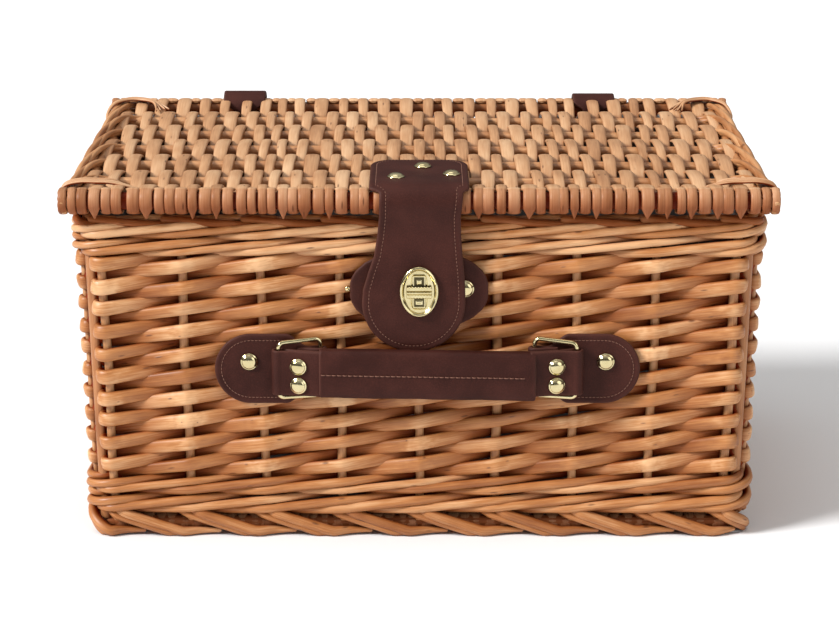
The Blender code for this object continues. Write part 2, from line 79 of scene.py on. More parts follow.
class Nodes:
    """Short calls that add and link the shader nodes of a material or a world."""

    def __init__(self, owner, shader="Principled BSDF"):
        owner.use_nodes = True
        self.owner, self.tree = owner, owner.node_tree
        self.shader = self.tree.nodes[shader]

    def set(self, **values):
        for key, value in values.items():
            self.put(self.shader, key.replace("_", " "), value)

    def put(self, node, socket, value):
        if isinstance(value, bpy.types.NodeSocket):
            self.tree.links.new(value, node.inputs[socket])
        elif value is not None:
            node.inputs[socket].default_value = value

    def new(self, kind, *values, **named):
        """A node with values or links put in its first inputs and in the named ones."""
        node = self.tree.nodes.new("ShaderNode" + kind)
        for socket, value in (*enumerate(values), *named.items()):
            self.put(node, socket, value)
        return node

    def attribute(self, name, output="Fac"):
        node = self.new("Attribute")
        node.attribute_name = name
        return node.outputs[output]

    def place(self):
        return self.new("TexCoord").outputs["Object"]

    def split(self, vector):
        return tuple(self.new("SeparateXYZ", vector).outputs)

    def join(self, x, y, z):
        return self.new("CombineXYZ", x, y, z).outputs[0]

    def math(self, operation, a, b=None, clamp=False):
        node = self.new("Math", a, b)
        node.operation, node.use_clamp = operation, clamp
        return node.outputs[0]

    def plus(self, a, b):
        return self.math("ADD", a, b)

    def times(self, a, b, clamp=False):
        return self.math("MULTIPLY", a, b, clamp)

    def scaled(self, vector, by):
        node = self.new("VectorMath", vector, by)
        node.operation = "MULTIPLY"
        return node.outputs[0]

    def noise(self, vector, scale=1.0, detail=3.0):
        return self.new("TexNoise", vector, Scale=scale, Detail=detail, Roughness=0.55).outputs["Fac"]

    def cells(self, vector, scale=1.0):
        return self.new("TexVoronoi", vector, Scale=scale).outputs["Distance"]

    def remap(self, value, low, high, to_low=0.0, to_high=1.0):
        return self.new("MapRange", value, low, high, to_low, to_high).outputs[0]

    def ramp(self, value, stops):
        node = self.new("ValToRGB", value)
        bar = node.color_ramp
        while len(bar.elements) < len(stops):
            bar.elements.new(0.5)
        for element, (at, colour) in zip(bar.elements, stops):
            element.position = at
            element.color = (*colour, 1.0)
        return node.outputs[0]

    def mix(self, factor, a, b, blend="MIX"):
        node = self.new("Mix", factor)
        node.data_type, node.blend_type = "RGBA", blend
        for index, value in ((6, a), (7, b)):
            self.put(node, index, (*value, 1.0) if isinstance(value, tuple) else value)
        return node.outputs[2]

    def bump(self, height, strength, distance, below=None):
        return self.new("Bump", Strength=strength, Distance=distance, Height=height, Normal=below).outputs[0]

    def finish(self, colour, roughness=None, normal=None):
        self.set(Base_Color=colour, Roughness=roughness, Normal=normal)
        return self.owner


def willow(name, dark, middle, light):
    """Peeled willow: streaks along each rod, its own tone, knots, and painted shade deep in the weave."""
    n = Nodes(bpy.data.materials.new(name))
    along, across, tone = n.split(n.attribute("fibre", "Vector"))
    seed = n.times(tone, 3.0)
    broad = n.noise(n.join(n.times(along, 32.0), n.times(across, 130.0), seed), detail=2.0)
    streak = n.noise(n.join(n.times(along, 55.0), n.times(across, 1500.0), seed), detail=4.0)
    level = n.plus(n.times(tone, 0.56), n.remap(broad, 0.25, 0.75, 0.0, 0.44))
    level = n.plus(level, n.remap(streak, 0.25, 0.75, -0.19, 0.19))
    colour = n.ramp(level, ((0.12, dark), (0.48, middle), (0.88, light)))
    spots = n.cells(n.join(n.times(along, 46.0), n.times(across, 210.0), seed))
    spot = n.remap(spots, 0.05, 0.13, 0.75, 0.0)
    colour = n.mix(spot, colour, (0.13, 0.045, 0.016))
    # painted shade: where the shade attribute is high the colour turns darker and redder and coat and
    # specular fade, as in crevices
    shade = n.attribute("shade")
    colour = n.mix(n.times(shade, 1.15, True), colour, (0.36, 0.080, 0.010), "MULTIPLY")
    normal = n.bump(streak, 0.30, 0.0006)
    normal = n.bump(n.math("SUBTRACT", broad, spot), 0.30, 0.0012, normal)
    n.set(Coat_Roughness=0.33, Coat_Weight=n.remap(shade, 0.0, 0.5, 0.20, 0.0),
          Specular_IOR_Level=n.remap(shade, 0.0, 0.6, 0.45, 0.08))
    return n.finish(colour, n.remap(streak, 0.2, 0.8, 0.36, 0.56), normal)


def leather(name):
    """Brown hide with a fine grain, and a painted highlight along its edges."""
    n = Nodes(bpy.data.materials.new(name))
    at = n.place()
    cloud = n.noise(at, 38.0, 3.0)
    grain = n.cells(at, 1500.0)
    fine = n.noise(at, 2600.0, 2.0)
    colour = n.ramp(n.plus(n.times(cloud, 0.8), n.times(grain, 0.3)),
                    ((0.40, (0.032, 0.0075, 0.0048)), (0.80, (0.064, 0.0172, 0.0118))))
    # painted highlight: paler brown where the edge attribute is high, along the leather's edges
    colour = n.mix(n.times(n.attribute("edge"), 0.45), colour, (0.125, 0.050, 0.036))
    normal = n.bump(grain, 0.26, 0.0002)
    normal = n.bump(fine, 0.12, 0.0001, normal)
    normal = n.bump(cloud, 0.12, 0.0010, normal)
    n.set(Specular_IOR_Level=0.15)
    return n.finish(colour, n.remap(grain, 0.0, 0.7, 0.46, 0.62), normal)


def thread(name):
    n = Nodes(bpy.data.materials.new(name))
    twist = n.noise(n.place(), 1400.0, 2.0)
    colour = n.ramp(twist, ((0.3, (0.12, 0.046, 0.028)), (0.7, (0.22, 0.095, 0.058))))
    return n.finish(colour, n.remap(twist, 0.3, 0.7, 0.6, 0.8), n.bump(twist, 0.4, 0.0002))


def brass(name, low, high, shine):
    """Metal between two colours; shine is its lowest roughness."""
    n = Nodes(bpy.data.materials.new(name))
    at = n.place()
    cloud = n.noise(at, 120.0, 3.0)
    scratch = n.noise(n.scaled(at, (2600.0, 300.0, 900.0)), 1.0, 2.0)
    n.set(Metallic=1.0)
    rough = n.plus(n.remap(cloud, 0.3, 0.7, shine, shine + 0.07), n.remap(scratch, 0.45, 0.8, 0.0, 0.10))
    return n.finish(n.ramp(cloud, ((0.3, low), (0.7, high))), rough, n.bump(scratch, 0.05, 0.0001))


def cloth(name):
    """Plain woven cotton: two sets of threads at right angles."""
    n = Nodes(bpy.data.materials.new(name))
    along, up, tone = n.split(n.attribute("fibre", "Vector"))
    woven = n.times(n.math("SINE", n.times(along, 6500.0)), n.math("SINE", n.times(up, 6500.0)))
    slub = n.noise(n.join(n.times(along, 60.0), n.times(up, 900.0), tone), detail=3.0)
    level = n.plus(n.remap(woven, -1.0, 1.0, 0.0, 0.35), n.times(slub, 0.65))
    colour = n.ramp(level, ((0.2, (0.10, 0.10, 0.098)), (0.8, (0.19, 0.19, 0.185))))
    n.set(Sheen_Weight=0.25)
    return n.finish(colour, n.remap(slub, 0.2, 0.8, 0.82, 0.96), n.bump(level, 0.35, 0.0003))


WEAVE = willow("willow_weave", (0.28, 0.088, 0.019), (0.46, 0.182, 0.052), (0.72, 0.41, 0.200))
SPLIT = willow("willow_split", (0.33, 0.145, 0.056), (0.52, 0.270, 0.125), (0.68, 0.42, 0.23))
BARK = willow("willow_rod", (0.30, 0.115, 0.036), (0.48, 0.220, 0.084), (0.66, 0.37, 0.170))
HIDE = leather("brown_leather")
THREAD = thread("waxed_thread")
BRASS = brass("pale_brass", (0.62, 0.52, 0.27), (0.76, 0.67, 0.40), 0.10)
# painted shade: near-black brass for the inside of the lock post's slot
SHADE_BRASS = brass("brass_in_shade", (0.06, 0.05, 0.025), (0.11, 0.09, 0.045), 0.35)
CLOTH = cloth("grey_cotton")


# mesh helpers

def unit(vectors):
    vectors = np.asarray(vectors, float)
    return vectors / np.maximum(np.linalg.norm(vectors, axis=-1, keepdims=True), 1e-12)


def spread(value, count):
    return np.broadcast_to(np.asarray(value, float), (count,))


def power_of(value, power):
    """A power that keeps the sign."""
    return np.sign(value) * np.abs(value) ** power


def points_at(x, y, z):
    """Points from three coordinates, each a number or an array."""
    return np.column_stack(np.broadcast_arrays(x, y, z)).astype(float)


def distances(line):
    """How far along a line each of its points is."""
    return np.concatenate([[0], np.cumsum(np.linalg.norm(np.diff(line, axis=0), axis=1))])


def sample(at, places, values):
    """Rows of values, known at some places, read off at others."""
    return np.column_stack([np.interp(at, places, column) for column in np.transpose(values)])


def tube_faces(index, flip=False):
    """Quads between rings of point numbers, and a face on each end."""
    following = np.roll(index, -1, axis=1)
    quads = [index[:-1], following[:-1], following[1:], index[1:]]
    ends = [index[0][::-1], index[-1]]
    if flip:
        quads = [quads[0], quads[3], quads[2], quads[1]]
        ends = [end[::-1] for end in ends]
    return np.stack(quads, axis=-1).reshape(-1, 4).tolist() + [end.tolist() for end in ends]


# a rod's rounded tip: its reach and its size, as shares of the rod's thickness
TIP_REACH, TIP_SIZE = 0.30, 0.62


class Strands:
    """Swept rods and strips that become one mesh, with what the materials need to know."""

    def __init__(self):
        self.points, self.faces, self.fibre, self.shade = [], [], [], []
        self.count = 0

    def sweep(self, path, face, width, thick, tone=0.5, shade=0.0, back=0.5, boxy=1.0, sides=10, both=False,
              hidden_shade=0.85):
        """A rod along a path. face points to its outer side; back is the share of it behind.

        Its hidden side gets painted shade, as in a crevice; with both, only its edges do.
        """
        path = np.asarray(path, float)
        count = len(path)
        run = unit(np.gradient(path, axis=0))
        width, thick, shade, tone = (spread(v, count) for v in (width, thick, shade, tone))
        face = np.broadcast_to(np.asarray(face, float), (count, 3))
        far = TIP_REACH * np.minimum(width, thick)
        path = np.vstack([path[:1] - run[:1] * far[0], path, path[-1:] + run[-1:] * far[-1]])
        grow = np.concatenate([[0], np.arange(count), [count - 1]]).astype(int)
        run, face, width, thick, shade, tone = (v[grow] for v in (run, face, width, thick, shade, tone))
        small = np.ones(count + 2)
        small[0] = small[-1] = TIP_SIZE
        face = unit(face - run * np.sum(face * run, axis=1, keepdims=True))
        side = np.cross(run, face)
        turn = 2 * np.pi * (np.arange(sides) + 0.5) / sides
        across = power_of(np.cos(turn), boxy) / 2
        lift = power_of(np.sin(turn), boxy)
        lift = np.where(lift > 0, lift * (1 - back), lift * back)
        wide = (width * small)[:, None] * across[None, :]
        high = (thick * small)[:, None] * lift[None, :]
        points = path[:, None, :] + side[:, None, :] * wide[..., None] + face[:, None, :] * high[..., None]
        along = np.broadcast_to((distances(path) + draw.random() * 9)[:, None], wide.shape)
        fibre = np.stack([along, wide, np.broadcast_to(tone[:, None], wide.shape)], axis=-1)
        rows = len(path)
        index = self.count + np.arange(rows * sides).reshape(rows, sides)
        self.faces += tube_faces(index)
        self.points.append(points.reshape(-1, 3))
        self.fibre.append(fibre.reshape(-1, 3))
        # painted shade: darker on the side that faces away from the outer side, or with both on the edges
        # only
        seen = np.abs(np.sin(turn)) if both else np.sin(turn)
        under = hidden_shade * np.clip((0.45 - seen) / 0.58, 0, 1) ** 1.3
        self.shade.append((1 - (1 - shade[:, None]) * (1 - under[None, :])).ravel())
        self.count += rows * sides

    def build(self, name, material, body, slot, *nodes):
        made = raw_object(name, np.vstack(self.points), self.faces, material)
        write_attribute(made, "fibre", np.vstack(self.fibre))
        write_attribute(made, "shade", np.concatenate(self.shade))
        return settle(made, body, nodes)


def write_attribute(made, name, values):
    values = np.asarray(values, np.float32)
    if values.ndim == 2:
        made.data.attributes.new(name, "FLOAT_VECTOR", "POINT").data.foreach_set("vector", values.ravel())
    else:
        made.data.attributes.new(name, "FLOAT", "POINT").data.foreach_set("value", values.ravel())


def add_object(name, data):
    made = bpy.data.objects.new(name, data)
    bpy.context.scene.collection.objects.link(made)
    return made


def raw_object(name, points, faces, material, sharp=50):
    mesh = bpy.data.meshes.new(name)
    mesh.from_pydata([tuple(p) for p in points], [], faces)
    mesh.materials.append(material)
    mesh.shade_smooth()
    mesh.set_sharp_from_angle(angle=math.radians(sharp))
    return add_object(name, mesh)


def loft(name, rings, material, body, nodes=(), sharp=40):
    """A solid through a stack of rings that all have the same number of points."""
    rings = np.array(rings)
    index = np.arange(rings.shape[0] * rings.shape[1]).reshape(rings.shape[:2])
    made = raw_object(name, rings.reshape(-1, 3), tube_faces(index), material, sharp)
    return settle(made, body, nodes)


def settle(made, body, nodes=()):
    if body:
        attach(made, body)
    if nodes:
        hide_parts(*nodes)
    return made


def curve(points, steps=8):
    """A Catmull-Rom curve through a few points, as an array."""
    points = np.asarray(points, float)
    ends = np.vstack([2 * points[:1] - points[1:2], points, 2 * points[-1:] - points[-2:-1]])
    t = np.linspace(0, 1, steps, endpoint=False)[:, None]
    line = []
    for a, b, c, d in zip(ends, ends[1:], ends[2:], ends[3:]):
        line.append(0.5 * (2 * b + (c - a) * t + (2 * a - 5 * b + 4 * c - d) * t ** 2
                           + (3 * b - a - 3 * c + d) * t ** 3))
    return np.vstack([*line, points[-1:]])


def zigzag(u, peak=0.94):
    """From 1 to -1 as u goes from 0 to 1: nearly straight, and round at the ends."""
    return np.arcsin(peak * np.cos(np.pi * np.asarray(u))) / math.asin(peak)


def ease(t):
    t = np.clip(t, 0, 1)
    return t * t * (3 - 2 * t)


def tone_of(low=0.15, high=0.85):
    """A rod's own tone, mostly near the middle."""
    return low + (high - low) * (draw.random() + draw.random()) / 2


# the wall's plan

MID_X, MID_Y, TURN = RIM_HALF_X - WALL / 2, RIM_HALF_Y - WALL / 2, CORNER_R - WALL / 2
SPANS = [2 * (MID_X - TURN), 2 * (MID_Y - TURN)] * 2
ARC = TURN * math.pi / 2
STARTS = [sum(SPANS[:k]) + k * ARC for k in range(4)]
ROUND = sum(SPANS) + 4 * ARC
STAKE_COUNTS = (9, 6, 9, 6)


def wall_plan(along):
    """x, y and the outward direction at distances round the middle of the wall, at the rim."""
    along = np.mod(np.asarray(along, float), ROUND)
    place, out = np.zeros((len(along), 2)), np.zeros((len(along), 2))
    for k in range(4):
        ahead = np.array([math.cos(k * math.pi / 2), math.sin(k * math.pi / 2)])
        normal = np.array([ahead[1], -ahead[0]])
        middle = (MID_Y, MID_X)[k % 2]
        s = along - STARTS[k]
        flat = (s >= 0) & (s <= SPANS[k])
        place[flat] = (s[flat, None] - SPANS[k] / 2) * ahead + middle * normal
        out[flat] = normal
        bend = (s > SPANS[k]) & (s < SPANS[k] + ARC)
        angle = (s[bend, None] - SPANS[k]) / TURN
        way = normal * np.cos(angle) + ahead * np.sin(angle)
        place[bend] = ahead * SPANS[k] / 2 + normal * (middle - TURN) + TURN * way
        out[bend] = way
    return place, out


def on_wall(along, height, out):
    """World points and outward directions at places on the wall."""
    along = np.atleast_1d(np.asarray(along, float))
    height, out = spread(height, len(along)), spread(out, len(along))
    place, way = wall_plan(along)
    grow_x = (BASE_HALF_X + (RIM_HALF_X - BASE_HALF_X) * height / RIM_Z) / RIM_HALF_X
    grow_y = (BASE_HALF_Y + (RIM_HALF_Y - BASE_HALF_Y) * height / RIM_Z) / RIM_HALF_Y
    x = place[:, 0] * grow_x + way[:, 0] * out
    y = place[:, 1] * grow_y + way[:, 1] * out
    return np.stack([x, y, height], axis=1), np.stack([way[:, 0], way[:, 1], np.zeros(len(x))], axis=1)


def stakes_of(k):
    count = STAKE_COUNTS[k]
    return [STARTS[k] + SPANS[k] / 2 + (i - (count - 1) / 2) * STAKE_PITCH for i in range(count)]


ALL_STAKES = [at for k in range(4) for at in stakes_of(k)]
STAKE_WALL = [k for k in range(4) for _ in stakes_of(k)]


def stake_at(index):
    """Distance round the wall at a stake number, whole or not, counted on past the last."""
    index = np.atleast_1d(np.asarray(index, float))
    low = np.floor(index).astype(int)
    count = len(ALL_STAKES)
    place = np.array(ALL_STAKES)
    a = place[low % count] + ROUND * (low // count)
    b = place[(low + 1) % count] + ROUND * ((low + 1) // count)
    return a + (b - a) * (index - low)


# woven walls

RAND_Z, RAND_STEP, RAND_ROWS = 0.0440, 0.00655, 20
# how far a siding rod swells out and how thick it is, on the long walls and on the short ones
RAND_LONG, RAND_SHORT = (0.0044, 0.0042), (0.0031, 0.0037)
STAKE_FOOT, STAKE_TOP = 0.0105, 0.1860
WALE_OUT, WALE_SHIFT = 0.0040, 0.0002
# the rim's roll: half its depth, half its height and the height of its middle
ROLL_DEEP, ROLL_TALL, ROLL_Z = 0.0026, 0.0022, 0.1858


def randing(k):
    """One wall of slanting rods, each in front of one stake and behind the next."""
    made = Strands()
    stakes = stakes_of(k)
    last = len(stakes) - 1
    swell, thick = (RAND_LONG, RAND_SHORT)[k % 2]
    reach = STAKE_R + thick / 2
    turns = np.linspace(0, math.pi, 12)[1:]
    for j in range(-last - 1, RAND_ROWS):
        first_stake, end_stake = max(0, -1 - j), min(last, RAND_ROWS - 1 - j)
        if end_stake <= first_stake:
            continue
        tone, full, pale = tone_of(0.0, 0.95), draw.uniform(0.0076, 0.0089), draw.uniform(0.10, 0.60)
        nodes = []
        for i in range(first_stake, end_stake + 1):
            sign = 1 if (i + j) % 2 == 0 else -1
            level = RAND_Z + (i + j) * RAND_STEP + draw.uniform(-0.0008, 0.0008)
            level -= 0.0009 if sign < 0 else 0
            nodes.append((stakes[i], level, sign))
        rows = []
        if nodes[0][2] > 0 and first_stake == 0:
            for a in turns[::-1]:
                drop = RAND_STEP * float(ease((a - 1.9) / 1.2))
                rows.append((nodes[0][0] - reach * math.sin(a), swell * math.cos(a), nodes[0][1] - drop, -a))
        for (s0, z0, side), (s1, z1, _) in zip(nodes, nodes[1:]):
            for u in 0.5 - 0.5 * np.cos(np.linspace(0, math.pi, 15)[:-1]):
                out = side * swell * float(zigzag(u, 0.997))
                rows.append((s0 + (s1 - s0) * u, out, z0 + (z1 - z0) * u, 0.0))
        rows.append((nodes[-1][0], nodes[-1][2] * swell, nodes[-1][1], 0.0))
        if nodes[-1][2] > 0 and end_stake == last:
            for a in turns:
                lift = RAND_STEP * float(ease((a - 1.9) / 1.2))
                along = nodes[-1][0] + reach * math.sin(a)
                rows.append((along, swell * math.cos(a), nodes[-1][1] + lift, a))
        along, out, height, swing = np.array(rows).T
        path, face = on_wall(along, height, out)
        ahead = np.column_stack([-face[:, 1], face[:, 0], np.zeros(len(face))])
        face = face * np.cos(swing)[:, None] + ahead * np.sin(swing)[:, None]
        wave = np.sin(np.linspace(0, len(nodes) * 2.1, len(path)) + draw.uniform(0, 6.28))
        face = face + np.array(UP) * (0.20 * wave[:, None] - 0.05)
        front = np.clip(out / swell, -1, 1)
        width = full * (0.96 + 0.03 * wave + 0.03 * np.clip(front, 0, 1))
        # painted shade where the rod goes back behind a stake; painted highlight, scaled by pale, where it
        # swells out in front of one and its bend catches the light
        shade = 0.72 * np.clip(0.42 - 0.75 * front, 0, 1)
        lit = tone + pale * np.clip((front - 0.55) / 0.45, 0, 1)
        made.sweep(path, face, width, thick, lit, shade, back=0.42, boxy=0.68, sides=14)
    return made


def wale(low, step, width, pale=0.0):
    """Rods that pass in front of two stakes and behind one, right round the basket."""
    made = {k: Strands() for k in range(4)}
    count = len(ALL_STAKES)
    # pale lifts every rod's tone: painted light that offsets the lid's shadow on the upper wales
    tones = [tone_of(pale, 1.0 + pale) for _ in range(12)]
    for start in range(count):
        rise = draw.uniform(-0.0006, 0.0006)
        e = np.linspace(-0.08, 3.08, 34)
        marks = np.array([-0.5, 0, 1, 2, 3, 3.5])
        heights = low + step * np.array([-0.9, -0.55, 0, 1, 1.55, 1.7])
        height = np.interp(e, marks, heights) + width / 2 + rise
        first, last = zigzag(np.clip(e, 0, 1), 0.95), zigzag(np.clip(e - 2, 0, 1), 0.95)
        outs = np.where(e < 1, -first, np.where(e > 2, last, 1))
        out = outs * WALE_OUT + WALE_SHIFT
        path, face = on_wall(stake_at(start + e), height, out)
        tone = tones[(start % 3) * 4 + (start // 8) % 4] + draw.uniform(-0.1, 0.1)
        size = width * draw.uniform(0.86, 1.10)
        body = size * np.linspace(draw.uniform(0.95, 1.1), draw.uniform(0.85, 1.0), len(e))
        shade = np.clip(0.35 - 0.55 * outs, 0.05, 1)
        made[STAKE_WALL[(start + 1) % count]].sweep(path, face, body, body * 0.92, tone, shade)
    return made


def foot_border():
    """Each stake turned to the right along the ground, with a thinner one beside it."""
    made = {k: Strands() for k in range(4)}
    e = np.linspace(-0.10, 1.36, 28)
    for start, wall in enumerate(STAKE_WALL):
        for twin in (0, 1):
            size = draw.uniform(0.0056, 0.0064) * (1 - 0.30 * twin)
            height = 0.0168 - 0.0143 * np.clip((e + 0.03) / 0.92, 0, 1) ** 0.9 - 0.0012 * twin
            height = np.maximum(height + draw.uniform(-0.0003, 0.0003), size / 2)
            out = -0.0016 + 0.0048 * ease((e + 0.10) / 0.25)
            out = out - 0.0026 * ease((e - 0.80) / 0.35) - 0.0004 * twin
            path, face = on_wall(stake_at(start + e - 0.16 * twin), height, out)
            shade = 0.55 * (1 - ease((e + 0.10) / 0.2)) + 0.12
            width = size * (1 - 0.50 * ease((e - 0.8) / 0.56))
            made[wall].sweep(path, face, width, width, tone_of(0.0, 0.75), shade, sides=12)
    return made


def rim_border():
    """Two layers of strands rolled along the top of the wall."""
    made = {k: Strands() for k in range(4)}
    for start, wall in enumerate(STAKE_WALL):
        e = np.linspace(-0.2, 3.2, 40)
        turn = math.radians(215) - np.clip(e / 3, -0.1, 1.1) * math.radians(300)
        out = -ROLL_DEEP * np.cos(turn)
        height = ROLL_Z - ROLL_TALL * np.sin(turn)
        path, face = on_wall(stake_at(start + e), height, out)
        thin = 0.0046 * (1 - 0.35 * ease((e - 2.4) / 0.8)) * draw.uniform(0.94, 1.06)
        # painted shade on the outer side of the roll, under the lid's edge
        shade = 0.10 + 0.45 * np.clip(out / 0.0020, 0, 1)
        made[wall].sweep(path, face, thin, thin, tone_of(0.1, 0.7), shade, hidden_shade=0.2)
    return made


def uprights(k):
    """The stakes of one wall, and the one in the gap at its right corner."""
    made = Strands()
    height = np.linspace(STAKE_FOOT, STAKE_TOP, 24)
    for at in stakes_of(k):
        sway = 0.0005 * np.sin(height * 60 + draw.uniform(0, 6))
        path, face = on_wall(at + sway, height, 0.0)
        thick = 2 * STAKE_R * draw.uniform(0.98, 1.12)
        made.sweep(path, face, thick, 2 * STAKE_R, tone_of(0.35, 0.95), 0.12, sides=12)
    corner = spread(STARTS[k] + SPANS[k] + ARC / 2, len(height))
    path, face = on_wall(corner, height, -0.0021)
    # painted shade on the post in the corner gap
    made.sweep(path, face, 0.0072, 0.0054, tone_of(0.2, 0.7), 0.30, sides=14)
    return made


def build_walls():
    bands = (("upper_wale_a", wale(0.1672, 0.0047, 0.0049, 0.25), "weave_willow", "rim_wale_{}"),
             ("upper_wale_b", wale(0.1768, 0.0045, 0.0047, 0.25), "weave_willow", None),
             ("lower_wale_a", wale(0.0150, 0.0050, 0.0053), "weave_willow", "lower_wale_{}"),
             ("lower_wale_b", wale(0.0262, 0.0048, 0.0052), "weave_willow", None),
             ("foot_border", foot_border(), "rod_willow", "{}_stakes"),
             ("rim_border", rim_border(), "weave_willow", None))
    for k, side in enumerate(SIDES):
        randing(k).build(f"{side}_randing", WEAVE, "basket", "weave_willow", f"siding_{side}")
        for name, band, slot, node in bands:
            band[k].build(f"{side}_{name}", WEAVE, "basket", slot, *([node.format(side)] if node else []))
        uprights(k).build(f"{side}_uprights", BARK, "basket", "rod_willow")


# woven panels: the lid and the base

def wrap_end(y, z, way, radius, over, tip):
    """The end of a strip round a border rod. way is -1 at the front, over says it starts on top."""
    if over:
        turns = np.radians(np.linspace(90, 222 if tip else 292, 12))
    else:
        turns = np.radians(np.linspace(-90, -292, 16))
    points = [(y - way * radius * math.cos(a), z + radius * math.sin(a)) for a in turns]
    if over and tip:
        ty, tz = points[-1]
        points += [(ty - way * 0.0006, tz - 0.0022), (ty - way * 0.0017, tz - 0.0048)]
    return points


def wrap_shade(height):
    """A strip's shade on a border rod: darker under the rod than above it."""
    return float(np.clip(0.54 - 42 * height, 0.10, 0.62))


def panel_strip(parity, rods, z, stick_r, border_r, thick, tips):
    """The (y, z) line of one strip that runs over and under the sticks, wrapped at both ends."""
    centre = border_r - thick / 2
    sign = [0.0] + [1.0 if (parity + j) % 2 else -1.0 for j in range(1, len(rods) - 1)] + [0.0]
    lift = stick_r + thick / 2 + 0.0002
    front_over, back_over = sign[1] < 0, sign[-2] < 0
    start = wrap_end(rods[0], z, -1, centre, front_over, front_over and tips)
    end = wrap_end(rods[-1], z, 1, centre, back_over, back_over and tips)
    line = start[::-1]
    levels = [centre * (1 if front_over else -1)] + [s * lift for s in sign[1:-1]]
    levels.append(centre * (1 if back_over else -1))
    depth = [0.0] * len(line)
    for (y0, y1), (a0, a1) in zip(zip(rods, rods[1:]), zip(levels, levels[1:])):
        for u in np.linspace(0, 1, 9)[1:]:
            if y1 == rods[-1] and u == 1:
                continue
            half = (a0 - a1) / 2
            late = u ** 1.5 if half > 0 else 1 - (1 - u) ** 1.5
            level = (a0 + a1) / 2 + half * float(zigzag(late, 0.90))
            line.append((y0 + (y1 - y0) * u, z + level))
            # painted shade where the strip dips towards a stick and passes under it
            depth.append(0.70 * float(ease(1 - abs(level / lift + 0.45) / 0.55)))
    line += end
    depth += [0.0] * len(end)
    return line, [wrap_shade(h - z) if abs(y) > rods[-1] + 0.001 else d for (y, h), d in zip(line, depth)]


def woven_panel(half, front, back, z, sticks, stick_r, border_r, pitch, thick, tips):
    """Strips front to back, in and out of sticks, as one mesh, an empty mesh for the sticks, and where the
    sticks lie.
    """
    strips = Strands()
    count = int(round(2 * half / pitch))
    sizes = np.array([draw.uniform(0.80, 1.22) for _ in range(count)])
    sizes *= 2 * half / sizes.sum()
    places = -half + np.cumsum(sizes) - sizes / 2
    rods = [front + (back - front) * j / (sticks + 1) for j in range(sticks + 2)]
    lift = stick_r + thick / 2 + 0.0002
    for i, (x, size) in enumerate(zip(places, sizes)):
        tipped = tips and draw.random() < 0.62
        line, depth = panel_strip(i % 2, rods, z, stick_r, border_r, thick, tipped)
        line = np.array(line)
        lean, wobble = draw.uniform(-0.0009, 0.0009), draw.uniform(0, 6)
        shift = lean * line[:, 0] / back + 0.0005 * np.sin(line[:, 0] * 55 + wobble)
        path = np.column_stack([x + shift, line])
        face = np.cross(SIDEWAYS, unit(np.gradient(path, axis=0)))
        proud = np.clip(np.abs(line[:, 1] - z) / lift, 0, 1) ** 2
        outside = (line[:, 0] < front) | (line[:, 0] > back)
        width = size * np.where(outside, 0.90, 1.0 + 0.12 * proud)
        if tipped and line[0, 1] < z - border_r:
            width[:3] *= (0.15, 0.55, 0.90)
        if tipped and line[-1, 1] < z - border_r:
            width[-3:] *= (0.90, 0.55, 0.15)
        strips.sweep(path, face, width, thick, tone_of(0.0, 1.0), depth, boxy=0.78, sides=14, both=True)
    return strips, Strands(), rods


